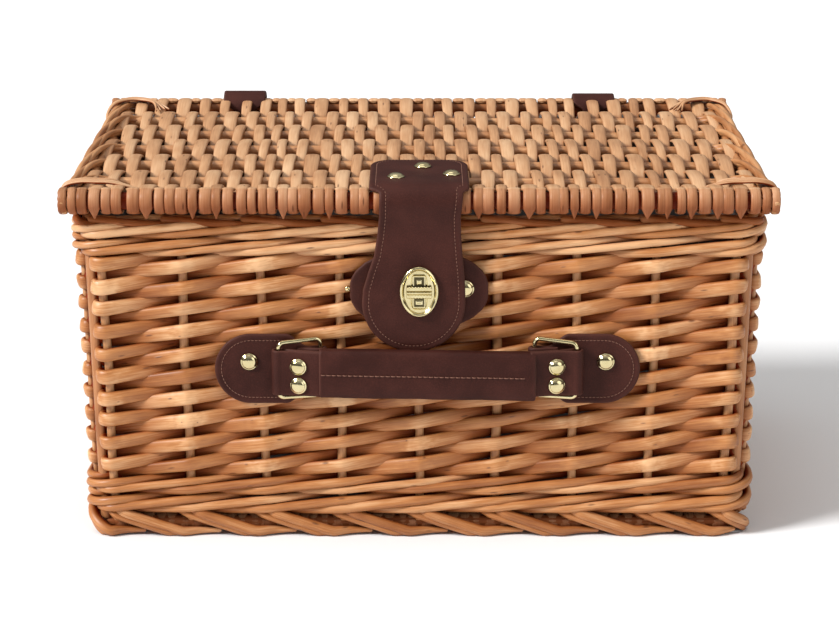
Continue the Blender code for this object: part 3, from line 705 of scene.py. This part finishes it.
def build_lid():
    half = LID_HALF_X - 0.0118
    strips, sticks, rods = woven_panel(half, -BORDER_Y, BORDER_Y, LID_Z, 5, 0.0031, BORDER_R, 0.00655,
                                       0.0025, True)
    # painted shade on the border rods, seen in the gaps between the wraps: darker at the front
    for y, hidden_shade in ((rods[0], 0.9), (rods[-1], 0.3)):
        line = points_at(np.linspace(-0.196, 0.196, 30), y, LID_Z)
        sticks.sweep(line, UP, 0.0098, 0.0098, 0.0, hidden_shade)
    for j, y in enumerate(rods[1:-1]):
        tone = tone_of(0.3, 0.8)
        x = np.linspace(-0.187, 0.080, 30)
        thin = 0.0074 - 0.0016 * ease((x + 0.05) / 0.13)
        line = points_at(x, y + 0.0004 * np.sin(x * 40 + j), LID_Z)
        sticks.sweep(line, UP, 1.14 * thin, thin, tone, 0.05, both=True)
        for off in (-0.0023, 0.0023):
            x = np.linspace(0.035 + draw.uniform(0, 0.03), 0.187, 22)
            line = points_at(x, y + off, LID_Z + 0.0003 * np.sin(x * 70 + j))
            sticks.sweep(line, UP, 0.0050, 0.0050, tone_of(0.3, 0.8), 0.05, both=True)
    turn = np.radians(np.linspace(-100, 270, 34))
    wrap = BORDER_R - 0.0012
    for x in (-0.1964, -0.1912, 0.1912, 0.1964):
        for t in (-1, 1):
            out = points_at(0.0, np.cos(turn), np.sin(turn))
            ring = [(x + draw.uniform(-0.0002, 0.0002), t * BORDER_Y + wrap * y, LID_Z + wrap * z)
                    for _, y, z in out]
            strips.sweep(ring, out, draw.uniform(0.0046, 0.0052), 0.0026, tone_of(0.0, 1.0),
                         [wrap_shade(wrap * math.sin(a)) for a in turn], boxy=0.78, sides=14, both=True)
    strips.build("lid_weave_strips", SPLIT, "lid", "weave_willow", "lid_weave")
    sticks.build("lid_sticks", BARK, "lid", "rod_willow", "lid_rod_front", "lid_rod_back",
                 *[f"lid_stick_{i}" for i in range(1, 6)])
    for name, s in LEFT_RIGHT:
        edge = Strands()
        for x, size in ((0.1925, 0.0075), (0.1876, 0.0060)):
            core = points_at(s * x, np.linspace(-0.136, 0.136, 24), LID_Z)
            edge.sweep(core, UP, size, size, 0.3, 0.15, both=True)
        for y in [*rods[1:], rods[-1] + 0.020]:
            for twin in (0, 1):
                grow = draw.uniform(0.9, 1.1)
                room = 0.078 - 0.022 * twin
                reach = min(1.0, max((y + 0.139) / room, 0.2))
                line = [(0.1740, 0.0, 0.0003), (0.1830, -0.004, 0.0022), (0.1885, -0.014, 0.0040),
                        (0.1925, -0.032, 0.0046), (0.1954, -0.055, 0.0034), (0.1968, -0.078, -0.0002)]
                start = y + 0.003 * twin
                path = curve([(s * (x - 0.0032 * twin), min(start + d * reach * room / 0.078, 0.1385),
                               LID_Z + h + 0.0006 * twin) for x, d, h in line], 7)
                edge.sweep(path, (0.5 * s, 0, 1.0), 0.0042 * grow, 0.0034 * grow, tone_of(0.1, 0.95), 0.05,
                           boxy=0.9, both=True)
        for i, z in enumerate((-0.0042, -0.0008)):
            y = np.linspace(-0.1365, 0.1365, 24)
            line = points_at(s * 0.1957, y, LID_Z + z + 0.0006 * np.sin(y * 60 + i * 2))
            edge.sweep(line, (s, 0, -0.2), 0.0040, 0.0040, tone_of(0.1, 0.8), 0.10, both=True)
        edge.build(f"lid_edge_{name}", BARK, "lid", "rod_willow", f"lid_rod_{name}")
        for end, t in (("front", -1), ("back", 1)):
            corner_binding(s, t).build(f"lid_binding_{end}_{name}", SPLIT, "lid", "weave_willow")


def corner_binding(s, t):
    """Thin strands that tie a corner of the lid, from its outer side over onto the top."""
    made = Strands()
    front = ((0.1968, 0.1225, -0.0060), (0.1995, 0.1228, -0.0005), (0.1968, 0.1232, 0.0060),
             (0.1890, 0.1236, 0.0084), (0.1800, 0.1232, 0.0084), (0.1700, 0.1222, 0.0076),
             (0.1610, 0.1214, 0.0044))
    back = ((0.1968, 0.1060, -0.0050), (0.1992, 0.1105, 0.0008), (0.1958, 0.1185, 0.0066),
            (0.1870, 0.1262, 0.0084), (0.1780, 0.1252, 0.0085), (0.1700, 0.1185, 0.0080),
            (0.1640, 0.1105, 0.0044))
    for i in range(4):
        fan = 0.0024 * (i - 1.5)
        line = [(s * (x + (fan if x < 0.17 else 0)), t * (y - 0.0021 * i), LID_Z + h + 0.0004 * (i % 2))
                for x, y, h in (front if t < 0 else back)]
        path = curve(line, 7)
        count = len(path)
        blend = ease(np.linspace(0, 1, count) * 3.2)[:, None]
        face = (1 - blend) * np.array([s, 0, 0.1]) + blend * np.array([0.0, -0.15 * t, 1.0])
        width = draw.uniform(0.0020, 0.0026) * np.ones(count)
        width[-8:] *= np.linspace(1, 0.35, 8)
        made.sweep(path, face, width, 0.0017, tone_of(0.3, 1.0), 0.05)
    return made


def build_base():
    half, edge, middle = BASE_HALF_X - 0.0150, BASE_HALF_Y - 0.0115, 0.0062
    strips, sticks, rods = woven_panel(half, -edge, edge, middle, 5, 0.0022, 0.0052, 0.0072, 0.0016, False)
    for y in rods:
        thick = 0.0066 if y in (rods[0], rods[-1]) else 0.0044
        line = points_at(np.linspace(-half - 0.004, half + 0.004, 30), y, middle)
        sticks.sweep(line, UP, thick, thick, tone_of(), 0.2)
    for s in (-1, 1):
        line = points_at(s * (half + 0.003), np.linspace(-edge, edge, 20), 0.0060)
        sticks.sweep(line, UP, 0.0070, 0.0070, tone_of(), 0.2)
    strips.build("base_strips", SPLIT, "basket", "weave_willow", "base_weave")
    ring, out = on_wall(np.linspace(0, ROUND, 200), 0.0066, -0.0042)
    # painted shade on the rod round the base's edge, seen in the gaps of the foot border
    sticks.sweep(ring, out, 0.0075, 0.0060, 0.3, 0.6)
    sticks.build("base_sticks", BARK, "basket", "rod_willow")
    for name, s in (("front", -1), ("back", 1)):
        runner = Strands()
        x = np.linspace(-0.1790, 0.1790, 40)
        line = points_at(x, s * 0.060 + 0.0006 * np.sin(x * 30), 0.0031)
        runner.sweep(line, (0, 0, -1.0), 0.0058, 0.0056, tone_of(), 0.05)
        runner.build(f"base_runner_rod_{name}", BARK, "basket", "rod_willow", f"base_runner_{name}")


# leather

def sheet_mesh(name, line, face, side, half, thick, stitch=None, across=29):
    """A leather strip of a given half-width along a line, with round edges and a pressed seam.

    line is (n, 3), face its outer side, side the direction across, half the half-width at each
    point. stitch is the seam's distance from the edge.
    """
    count = len(line)
    face, side = unit(np.broadcast_to(face, (count, 3))), unit(np.broadcast_to(side, (count, 3)))
    lengths = distances(line)
    x = half[:, None] * np.sin(np.linspace(-math.pi / 2, math.pi / 2, across))[None, :]
    slope = np.gradient(half, lengths)
    near = (half[:, None] - np.abs(x)) / np.sqrt(1 + slope[:, None] ** 2)
    near = np.minimum(near, np.minimum(lengths, lengths[-1] - lengths)[:, None])
    t = np.clip(near / (thick / 2), 0, 1)
    lift = thick / 2 * np.sqrt(np.clip(1 - (1 - t) ** 2, 0, 1))
    top = lift - SEAM_DEPTH * np.exp(-((near - stitch) / 0.0006) ** 2) if stitch else lift
    middle = line[:, None, :] + side[:, None, :] * x[..., None]
    upper = middle + face[:, None, :] * top[..., None]
    lower = middle - face[:, None, :] * lift[..., None]
    rim = np.concatenate([upper, lower[:, ::-1][:, 1:-1]], axis=1)
    edge_distance = np.concatenate([near, near[:, ::-1][:, 1:-1]], axis=1)
    index = np.arange(edge_distance.size).reshape(edge_distance.shape)
    made = raw_object(name, rim.reshape(-1, 3), tube_faces(index, True), HIDE, 70)
    # edge: closeness to the edge, where the leather gets a painted highlight
    write_attribute(made, "edge", np.exp(-edge_distance.ravel() / 0.0006))
    return made


def stitches(name, path, face, body, pitch=0.0021, dash=0.0014, size=0.00042):
    """Thread dashes along a path that lies on the leather."""
    made = Strands()
    path = np.asarray(path, float)
    face = np.broadcast_to(np.asarray(face, float), path.shape)
    lengths = distances(path)
    for i in range(int(lengths[-1] / pitch)):
        at = (i + 0.5) * pitch + np.linspace(-dash / 2, dash / 2, 5)
        out = sample(at, lengths, face)
        bow = np.array([-0.0003, 0.0001, 0.0002, 0.0001, -0.0003])[:, None]
        made.sweep(sample(at, lengths, path) + out * bow, out, size, size * 0.8, sides=6)
    dashes = raw_object(name, np.vstack(made.points), made.faces, THREAD)
    return settle(dashes, body)


def resample(line, step):
    """A line with its points at even steps."""
    lengths = distances(line)
    return sample(np.linspace(0, lengths[-1], int(lengths[-1] / step) + 1), lengths, line)


def strap_line(points, steps, count, tight=0.0022):
    """A curve through points, its own points crowded at both ends, with their distances and directions."""
    line = curve(points, steps)
    lengths = distances(line)
    at = end_steps(lengths[-1], count, tight)
    line = sample(at, lengths, line)
    return line, at, unit(np.gradient(line, axis=0))


def end_steps(length, count, tight=0.0022):
    """Distances along a strip that crowd together at both ends, for round edges."""
    edge = np.array([0, 0.08, 0.2, 0.4, 0.7, 1.0]) * tight
    return np.concatenate([edge, np.linspace(tight, length - tight, count)[1:-1], length - edge[::-1]])


def outline_seam(at, half, inset):
    """The closed line inside a strip's outline, as (distance along, across) pairs."""
    around = np.vstack([np.column_stack([at, -half]), np.column_stack([at[::-1], half[::-1]])])
    around = resample(np.vstack([around, around[:1]]), 0.0006)[:-1]
    run = unit(np.roll(around, -1, axis=0) - np.roll(around, 1, axis=0))
    inner = around + np.column_stack([-run[:, 1], run[:, 0]]) * inset
    gaps = np.linalg.norm(inner[:, None, :] - around[None, :, :], axis=2).min(axis=1)
    inner = inner[gaps > inset * 0.96]
    return np.vstack([inner, inner[:1]])


# the closure from the side, as (y, z) from the lid to its foot
CLOSURE_SIDE = ((-0.0672, 0.2072), (-0.0720, 0.2080), (-0.0900, 0.2082), (-0.1150, 0.2083),
                (-0.1310, 0.2086), (-0.1365, 0.2075), (-0.1395, 0.2055), (-0.1413, 0.2020),
                (-0.1418, 0.1985), (-0.1410, 0.1935), (-0.1394, 0.1860), (-0.1385, 0.1780),
                (-0.1383, 0.1640), (-0.1380, 0.1400), (-0.1372, 0.1280), (-0.1360, 0.1139))
# its hanging part: (height, half-width, shift in X) from the middle of its round foot up
FLAP_WIDTHS = ((0.1425, 0.0287, -0.0030), (0.1497, 0.0284, -0.0028), (0.1600, 0.0266, -0.0016),
               (0.1690, 0.0246, -0.0005), (0.1805, 0.0232, 0.0), (0.1920, 0.0225, 0.0004),
               (0.2060, 0.0232, 0.0013))
# its lying part: half its width and the reach of its round corners
LYING_HALF, LYING_CORNER = 0.0276, 0.0170
# where it bends over the lid's front edge
FOLD_Y, FOLD_Z = -0.133, 0.2071
# a seam's distance from the edge of the closure and of a handle tab
CLOSURE_SEAM, TAB_SEAM = 0.0036, 0.0037


def build_closure():
    """One strap: riveted on the lid, over its front edge, and down to a round foot."""
    line, at, run = strap_line([(0, y, z) for y, z in CLOSURE_SIDE], 10, 190)
    face = points_at(0.0, run[:, 2], -run[:, 1])
    height, hangs = line[:, 2], line[:, 1] < FOLD_Y
    levels, widths, shifts = np.array(FLAP_WIDTHS).T
    hanging = np.interp(height, levels, widths)
    low = height < levels[0]
    hanging[low] = np.sqrt(np.clip(widths[0] ** 2 - (levels[0] - height[low]) ** 2, 2e-6, None))
    near_end = np.maximum(LYING_CORNER - at, 0)
    lying = LYING_HALF - LYING_CORNER + np.sqrt(np.clip(LYING_CORNER ** 2 - near_end ** 2, 1e-8, None))
    fold = np.interp(-FOLD_Z, -height[hangs], at[hangs])
    half = lying + (hanging - lying) * ease((at - fold) / 0.0030)
    line[:, 0] += np.interp(height, levels, shifts) * ease((at - fold) / 0.004)
    strap = sheet_mesh("closure_strap", line, face, SIDEWAYS, half, LEATHER, CLOSURE_SEAM, across=45)
    settle(strap, None, ("closure_anchor", "closure_flap"))
    seam = outline_seam(at, half, CLOSURE_SEAM)
    out = sample(seam[:, 0], at, face)
    spots = sample(seam[:, 0], at, line) + out * (LEATHER / 2 - 0.0002)
    spots[:, 0] += seam[:, 1]
    for piece in (strap, stitches("closure_stitches", spots, out, None)):
        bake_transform(piece)


def cap_rivet(name, centre, axis, body, node=None, radius=0.0049):
    """A domed cap with a rolled edge, standing on the leather."""
    edge = ((-0.0010, -0.0010), (-0.0004, -0.0002), (0.0, 0.0002), (0.0001, 0.0006), (-0.0003, 0.0010),
            (-0.0008, 0.00118))
    profile = [(radius + r, h) for r, h in edge]
    for a in np.radians(np.arange(12, 85, 12)):
        profile.append(((radius - 0.0008) * math.cos(a), 0.0010 + 0.0017 * math.sin(a)))
    axis = unit(axis)
    u = unit(np.cross(axis, UP if abs(axis[2]) < 0.9 else SIDEWAYS))
    v = np.cross(axis, u)
    turn = (2 * np.pi * np.arange(32) / 32)[:, None]
    ring = u * np.cos(turn) + v * np.sin(turn)
    rings = [centre + axis * h + r * ring for r, h in profile]
    return loft(name, rings, BRASS, body, (node,) if node else (), 60)


def build_rivets():
    for name, x, y in (("left", -0.0130, -0.1180), ("middle", 0.0020, -0.0905), ("right", 0.0180, -0.1110)):
        cap_rivet(f"closure_cap_{name}", (x, y, 0.2094), UP, "lid", f"closure_rivet_{name}")
    for name, s in LEFT_RIGHT:
        low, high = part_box(f"patch_rivet_{name}")
        at = (low[0] + high[0]) / 2, low[1] + 0.0022, LOCK_Z
        cap_rivet(f"patch_cap_{name}", at, FORWARD, "basket", f"patch_rivet_{name}")
        at = on_handle(s, 0.100, 0.0036, 0.0045)
        cap_rivet(f"tab_cap_{name}", at, FORWARD, "basket", f"tab_rivet_{name}")
        at = s * HINGE_X, 0.1333, 0.1575
        cap_rivet(f"hinge_cap_{name}", at, (0, 1.0, 0.03), "basket", f"hinge_rivet_{name}")


def build_hinges():
    """Each strap runs from the back wall, round the lid's back border and in under the lid."""
    back = BORDER_Y
    tail = [(0.1316, 0.1420), (0.1319, 0.1480), (0.1325, 0.1660), (0.1332, 0.1780), (0.1345, 0.1845),
            (0.1372, 0.1885), (0.1402, 0.1915)]
    inner = [(back - y, LID_Z - z) for y, z in ((0.0086, 0.0060), (0.0130, 0.0080), (0.0250, 0.0082))]
    rounded = np.array([0.0014, 0.0009, 0.0005, 0.0001])
    for name, s in LEFT_RIGHT:
        x, rise = s * HINGE_X, 0.0100 - 0.0009 * s
        turn = [(back + 0.0025 + 0.0115 * math.cos(a), LID_Z + rise * math.sin(a))
                for a in np.radians(np.arange(-20, 196, 15))]
        line, _, run = strap_line([(x, y, z) for y, z in tail + turn + inner], 5, 110, 0.0016)
        half = np.full(len(line), HINGE_WIDTH / 2)
        half[:4] -= rounded
        half[-4:] -= rounded[::-1]
        half -= 0.0065 * np.exp(-((line[:, 2] - LID_Z + 0.0005) / 0.0042) ** 4) * (line[:, 1] < back)
        strap = sheet_mesh(f"hinge_strap_leather_{name}", line, points_at(0.0, run[:, 2], -run[:, 1]),
                           SIDEWAYS, half, HINGE_LEATHER, across=17)
        settle(strap, None, (f"hinge_strap_{name}", f"hinge_loop_{name}"))
        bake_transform(strap)


def on_handle(s, x, off, height=0.0):
    """A point beside the handle's middle: x to side s, off out from the wall."""
    return np.array([HANDLE_X + s * x, HANDLE_WALL_Y - off, HANDLE_Z + height])


def build_tabs():
    """A tab on the wall with a round outer end, its neck folded round the ring's inner bar."""
    end, full, neck, off = 0.1194, 0.0203, 0.0132, 0.0021
    flat = [(end, off), (0.110, off), (0.090, off), (0.0720, off), (0.0655, 0.0018), (0.0618, 0.0010)]
    turn = [(PIVOT[0] - 0.0026 * math.sin(a), PIVOT[1] - 0.0026 * math.cos(a))
            for a in np.radians(np.arange(15, 166, 30))]
    over = [(0.0625, 0.0062), (0.0680, 0.0050), (0.0730, 0.0046)]
    inner, top = full - TAB_SEAM, off + LEATHER / 2
    for name, s in LEFT_RIGHT:
        line, at, run = strap_line([on_handle(s, *point) for point in flat + turn + over], 7, 120)
        face = points_at(run[:, 1], -run[:, 0], 0.0) * -s
        half = np.where(at < full, np.sqrt(np.clip(full ** 2 - (full - at) ** 2, 1e-8, None)), full)
        half = half - (full - neck) * ease((at - 0.0400) / 0.0125)
        half[0] = 0.0015
        piece = sheet_mesh(f"handle_tab_leather_{name}", line, face, UP, half, LEATHER, TAB_SEAM,
                           across=33)
        settle(piece, "basket", (f"handle_tab_{name}",))
        low, high = ([on_handle(s, x, top, side * inner) for x in (0.0800, 0.0900)] for side in (-1, 1))
        arc = [on_handle(s, end - full + inner * math.cos(a), top, inner * math.sin(a))
               for a in np.linspace(-math.pi / 2, math.pi / 2, 40)]
        seam = resample(np.array([*low, *arc, *high[::-1]]), 0.0005)
        stitches(f"handle_tab_stitches_{name}", seam, FORWARD, "basket")


def build_rings():
    """Flattened wire rings between the tabs and the strap."""
    bend, deep, tall, count = 0.0030, 0.0012, 0.0013, 14
    turn = (2 * np.pi * np.arange(count) / count)[None, :, None]
    for name, s in LEFT_RIGHT:
        inner, outer = on_handle(s, *PIVOT), on_handle(s, *BAR)
        length = float(np.linalg.norm(outer - inner))
        along = (outer - inner) / length
        path = []
        for u, z, first in ((0, -0.0150, 180), (length, -0.0150, 270), (length, 0.0168, 0), (0, 0.0180, 90)):
            cu, cz = u + (bend if u == 0 else -bend), z - math.copysign(bend, z)
            for a in np.radians(np.linspace(first, first + 90, 8)):
                path.append(inner + along * (cu + bend * math.cos(a)) + (0, 0, cz + bend * math.sin(a)))
        path = np.array(path)
        flat = unit(np.cross(along, UP))
        across = np.cross(unit(np.roll(path, -1, axis=0) - np.roll(path, 1, axis=0)), flat)
        rings = path[:, None, :] + deep * np.cos(turn) * flat + tall * np.sin(turn) * across[:, None, :]
        index = np.arange(len(path) * count).reshape(-1, count)
        faces = tube_faces(np.vstack([index, index[:1]]))[:-2]
        made = raw_object(f"wire_ring_{name}", rings.reshape(-1, 3), faces, BRASS)
        settle(made, f"ring_{name}", (f"ring_{name}",))


def build_strap_ends():
    """Two layers of strap from the sleeve, spread apart round the ring's outer bar."""
    layer, gap, bar_room, rivet_u = 0.0018, 0.0003, 0.0022, 0.0088
    start, end = np.array(KNUCKLE), np.array(BAR)
    way = unit(end - start)
    normal = np.array([-way[1], way[0]])
    length, loop, apart = float(np.linalg.norm(end - start)), bar_room + layer / 2, (layer + gap) / 2
    upper = [(-0.0060, apart), (0.0, apart), (0.0080, apart), (0.0125, apart + 0.0002),
             (0.0165, apart + 0.0010)]
    turn = [(length + loop * math.sin(a), loop * math.cos(a)) for a in np.radians(np.linspace(-35, 215, 13))]
    flat = [start + way * u + normal * v for u, v in upper + turn + [(u, -v) for u, v in upper[::-1]]]
    rivet_at = start + way * rivet_u + normal * (apart + layer / 2 + 0.0002)
    for name, s in LEFT_RIGHT:
        line, _, run = strap_line([on_handle(s, *point) for point in flat], 6, 96, 0.0012)
        face = points_at(-run[:, 1], run[:, 0], 0.0) * -s
        half = np.full(len(line), 0.0130)
        strap = sheet_mesh(f"strap_loop_{name}", line, face, UP, half, layer, across=23)
        settle(strap, None, (f"strap_end_{name}",))
        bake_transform(strap)
        out = on_handle(s, *normal) - on_handle(s, 0, 0)
        for level, z, node in (("low", -0.0068, f"strap_rivets_{name}"), ("high", 0.0041, None)):
            at = on_handle(s, *rivet_at, z)
            cap_rivet(f"strap_cap_{name}_{level}", at, out, f"strap_end_{name}", node, 0.0048)


def sleeve_point(u, a):
    """A point of the padded sleeve: u from end to end, a round it."""
    end = 1 - abs(u)
    full = min(1.0, 0.80 + 0.20 * math.sqrt(min(end / 0.012, 1)))
    press = 0.0006 * math.exp(-((end - 0.040) / 0.012) ** 2)
    bulge = 0.00035 * math.sin(u * 9.0) + 0.0002 * math.sin(u * 23.0)
    tall = power_of(math.sin(a), 0.62) * (0.0141 * (0.5 + full / 2) + bulge * 0.3)
    deep = power_of(math.cos(a), 0.62) * (0.0048 * full - press * 0.5 + bulge * 0.3)
    return HANDLE_X + u * GRIP_HALF, HANDLE_WALL_Y - GRIP_OFF + deep, HANDLE_Z + tall - 0.0005 - 0.0010 * u


def build_grip():
    """A padded leather sleeve, stitched along its middle."""
    ends, count = np.array([0.98, 0.992, 0.998, 1.0]), 60
    x = np.concatenate([-ends[::-1], np.linspace(-0.965, 0.965, 72), ends])
    turn = 2 * np.pi * (np.arange(count) + 0.5) / count
    rings = [[sleeve_point(u, a) for a in turn] for u in x]
    grip = loft("grip_sleeve", rings, HIDE, "handle_grip", ("handle_grip",), 60)
    # edge: a painted highlight at the sleeve's two ends
    write_attribute(grip, "edge", np.repeat(np.exp(-GRIP_HALF * (1 - np.abs(x)) / 0.0005), count))
    seam = np.array([sleeve_point(u, math.pi) for u in np.linspace(-0.985, 0.95, 160)]) - (0, 0.0004, 0)
    stitches("grip_stitches", seam, FORWARD, "handle_grip", 0.0030, 0.0022, 0.0006)


# brass lock

def oval_ring(rx, rz, y, power=1.0, count=48):
    """An oval in the X-Z plane; a power below 1 squares it off."""
    turn = 2 * np.pi * np.arange(count) / count
    return points_at(power_of(np.cos(turn), power) * rx, y, LOCK_Z + power_of(np.sin(turn), power) * rz)


def rect_ring(hx, hz, y, z=LOCK_Z, round_by=0.0004):
    """A rectangle with round corners in the X-Z plane."""
    ring = []
    for cx, cz, first in ((1, 1, 0), (-1, 1, 90), (-1, -1, 180), (1, -1, 270)):
        for a in np.radians(np.linspace(first, first + 90, 5)):
            ring.append((cx * (hx - round_by) + round_by * math.cos(a), y,
                         z + cz * (hz - round_by) + round_by * math.sin(a)))
    return ring


def build_lock():
    """An oval plate on the flap, a slotted post from the wall, and a ribbed turn button."""
    (_, front, _), (_, back, _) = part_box("lock_escutcheon")
    rings = [oval_ring(rx, rx + 0.0037, y) for rx, y in (
        (0.0098, back), (0.0106, back - 0.0003), (0.0109, front + 0.0008), (0.0108, front + 0.0001),
        (0.0103, front - 0.0005), (0.0097, front - 0.0007), (0.0091, front - 0.0004),
        (0.0087, front + 0.0003), (0.0083, front + 0.0006))]
    rings += [oval_ring(rx, rx + 0.0056, y, 0.40) for rx, y in (
        (0.0046, front + 0.0005), (0.0043, front + 0.0008), (0.0042, back - 0.0001))]
    loft("lock_plate", rings, BRASS, "flap", ("lock_escutcheon",), 35)
    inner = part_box("lock_base")[1][1]
    post = [rect_ring(0.0090, 0.0130, inner), rect_ring(0.0090, 0.0130, inner - 0.0012)]
    post += [rect_ring(hx, hx + 0.0057, y) for hx, y in (
        (0.0036, inner - 0.0013), (0.0036, front + 0.0004), (0.0034, front - 0.0001),
        (0.0029, front - 0.0001), (0.0027, front + 0.0002))]
    loft("lock_post", post, BRASS, "basket", ("lock_base",), 35)
    # lock_post_well: a dark brass plate in the post's slot, painted shade in the recess
    well = [rect_ring(0.0027, 0.0084, front + 0.0003), rect_ring(0.0026, 0.0083, front + 0.0001)]
    loft("lock_post_well", well, SHADE_BRASS, "basket", (), 35)
    for name, z, hx, hz in (("upper", 0.0058, 0.0013, 0.0013), ("lower", -0.0060, 0.0019, 0.0012)):
        block = [rect_ring(hx - cut, hz - cut, front + y, LOCK_Z + z, round_by) for cut, y, round_by in (
            (0, 0.0003, 0.0003), (0, -0.0002, 0.0003), (0.0003, -0.0004, 0.0002),
            (0.0008, -0.0004, 0.0002), (0.0009, -0.0001, 0.0002))]
        loft(f"lock_post_block_{name}", block, BRASS, "basket", (), 35)
    (low_x, face, _), (high_x, _, _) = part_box("turn_button")
    hx, hz, bend = (high_x - low_x) / 2, 0.0034, 0.0005
    rings = []
    for x in np.linspace(-hx, hx, 85):
        edge = math.sqrt(max(1 - (max(abs(x) - hx + bend, 0) / bend) ** 2, 0))
        rib = 0.00028 if math.sin(x * 2 * math.pi / 0.00165) > 0 else 0
        tall = (hz - rib) * (0.85 + 0.15 * edge)
        ring = [(x, front - 0.0007, LOCK_Z - tall)]
        for v in np.linspace(-1, 1, 25):
            groove = sum(0.0007 * math.exp(-((v * hz - g) / 0.00022) ** 2) for g in (-0.0009, 0.0009))
            bevel = 0.0006 * max(abs(v) - 0.86, 0) / 0.14
            ring.append((x, face + 0.0009 + groove + bevel + (1 - edge) * 0.0006, LOCK_Z + v * tall))
        ring.append((x, front - 0.0007, LOCK_Z + tall))
        rings.append(ring)
    loft("lock_button", rings, BRASS, "turn_button", ("turn_button",), 30)


# cloth lining

def build_lining():
    rows, count = 26, 420
    heights = np.linspace(0.0118, 0.1838, rows)
    along = np.linspace(0, ROUND, count, endpoint=False)
    points, fibre = [], []
    for i, z in enumerate(heights):
        pull = math.sin(math.pi * i / (rows - 1))
        fold = 0.0007 * np.sin(along * 46.0 + 0.8 * math.sin(i * 0.5)) + 0.0004 * np.sin(along * 113.0)
        place, _ = on_wall(along, z, -WALL / 2 - 0.0012 - pull * np.abs(fold))
        points.append(place)
        fibre.append(points_at(along, z, 0.3))
    faces = tube_faces(np.arange(rows * count).reshape(rows, count), True)[:-2]
    wall = raw_object("lining_walls", np.vstack(points), faces, CLOTH)
    write_attribute(wall, "fibre", np.vstack(fibre))
    settle(wall, "basket", ("lining",))
    grid_x, grid_y = 60, 42
    hx, hy = BASE_HALF_X - WALL - 0.0006, BASE_HALF_Y - WALL - 0.0006
    points = []
    for j in range(grid_y):
        for i in range(grid_x):
            x, y = (2 * i / (grid_x - 1) - 1) * hx, (2 * j / (grid_y - 1) - 1) * hy
            over = max(abs(x) - (hx - 0.006), 0), max(abs(y) - (hy - 0.006), 0)
            if over[0] > 0 and over[1] > 0:
                far = math.hypot(*over)
                scale = max(over) / far
                x = math.copysign(hx - 0.006 + over[0] * scale, x)
                y = math.copysign(hy - 0.006 + over[1] * scale, y)
            points.append((x, y, 0.0119 + 0.0003 * math.sin(x * 50) * math.sin(y * 43)))
    index = np.arange(grid_x * grid_y).reshape(grid_y, grid_x)
    faces = [index[:-1, :-1], index[:-1, 1:], index[1:, 1:], index[1:, :-1]]
    faces = np.stack(faces, axis=-1).reshape(-1, 4).tolist()
    floor = raw_object("lining_floor", np.array(points), faces, CLOTH)
    write_attribute(floor, "fibre", np.array([(x, y, 0.7) for x, y, _ in points]))
    settle(floor, "basket")


def build_patch():
    """The leather lozenge behind the flap, lying flat on the wall."""
    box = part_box("lock_patch")
    y0 = (box[0][1] + box[1][1]) / 2
    end = 0.0385
    x = end_steps(2 * end, 60) - end
    line = points_at(x, y0, LOCK_Z - 0.0012)
    places = (0.012, 0.022, 0.030, 0.035, 0.0375, end)
    half = np.interp(np.abs(x), places, (0.0215, 0.0200, 0.0160, 0.0115, 0.0075, 0.0040))
    piece = sheet_mesh("lock_patch_leather", line, (0, -1.0, 0.024), UP, half, LEATHER, across=25)
    settle(piece, "basket", ("lock_patch",))
    cap_rivet("patch_pin", (-0.0398, y0 + 0.0006, LOCK_Z - 0.0006), FORWARD, "basket", radius=0.0015)


# the studio

def build_world():
    """A pale room that is darker low down in front, so that the metal has something to mirror."""
    world = bpy.data.worlds.new("studio")
    bpy.context.scene.world = world
    n = Nodes(world, "Background")
    up = n.split(n.new("TexCoord").outputs["Generated"])[2]
    room = n.ramp(up, ((0.05, (0.06, 0.06, 0.06)), (0.70, (1.0, 1.0, 1.0))))
    seen = n.new("LightPath").outputs["Is Camera Ray"]
    n.set(Color=n.mix(seen, room, (2.2, 2.2, 2.2)), Strength=0.45)


def build_studio():
    mesh = bpy.data.meshes.new("floor")
    mesh.from_pydata([(-8, -8, 0), (8, -8, 0), (8, 8, 0), (-8, 8, 0)], [], [(0, 1, 2, 3)])
    floor = add_object("floor", mesh)
    n = Nodes(bpy.data.materials.new("pale_floor"))
    n.set(Roughness=0.9)
    colour = n.ramp(n.noise(n.place(), 2.0), ((0.3, (0.86, 0.86, 0.86)), (0.7, (0.88, 0.88, 0.88))))
    mesh.materials.append(n.finish(colour))
    build_world()
    for name, place, soft, power in (
            ("key", (-1.85, -0.90, 1.50), 18, 4.2),
            ("top", (-0.2, 0.1, 1.8), 40, 0.5),
            ("fill", (1.7, -1.7, 0.9), 40, 0.6)):
        light = bpy.data.lights.new(name, "SUN")
        light.angle = math.radians(soft)
        light.energy = power
        lamp = add_object(name, light)
        flat = math.hypot(place[0], place[1])
        lamp.rotation_euler = (math.atan2(flat, place[2]), 0, math.atan2(-place[1], -place[0]) - math.pi / 2)
    data = bpy.data.cameras.new("camera")
    data.lens, data.sensor_width = 112.76, 36.0
    camera = add_object("camera", data)
    camera.location = (0.0002, -1.547, 0.5235)
    camera.rotation_euler = (math.radians(90 - 15.387), 0, 0)
    bpy.context.scene.camera = camera


bpy.context.scene.view_settings.view_transform = "Standard"
build_studio()
build_walls()
build_base()
build_lid()
build_lining()
build_patch()
build_closure()
build_hinges()
build_tabs()
build_rings()
build_strap_ends()
build_grip()
build_lock()
build_rivets()
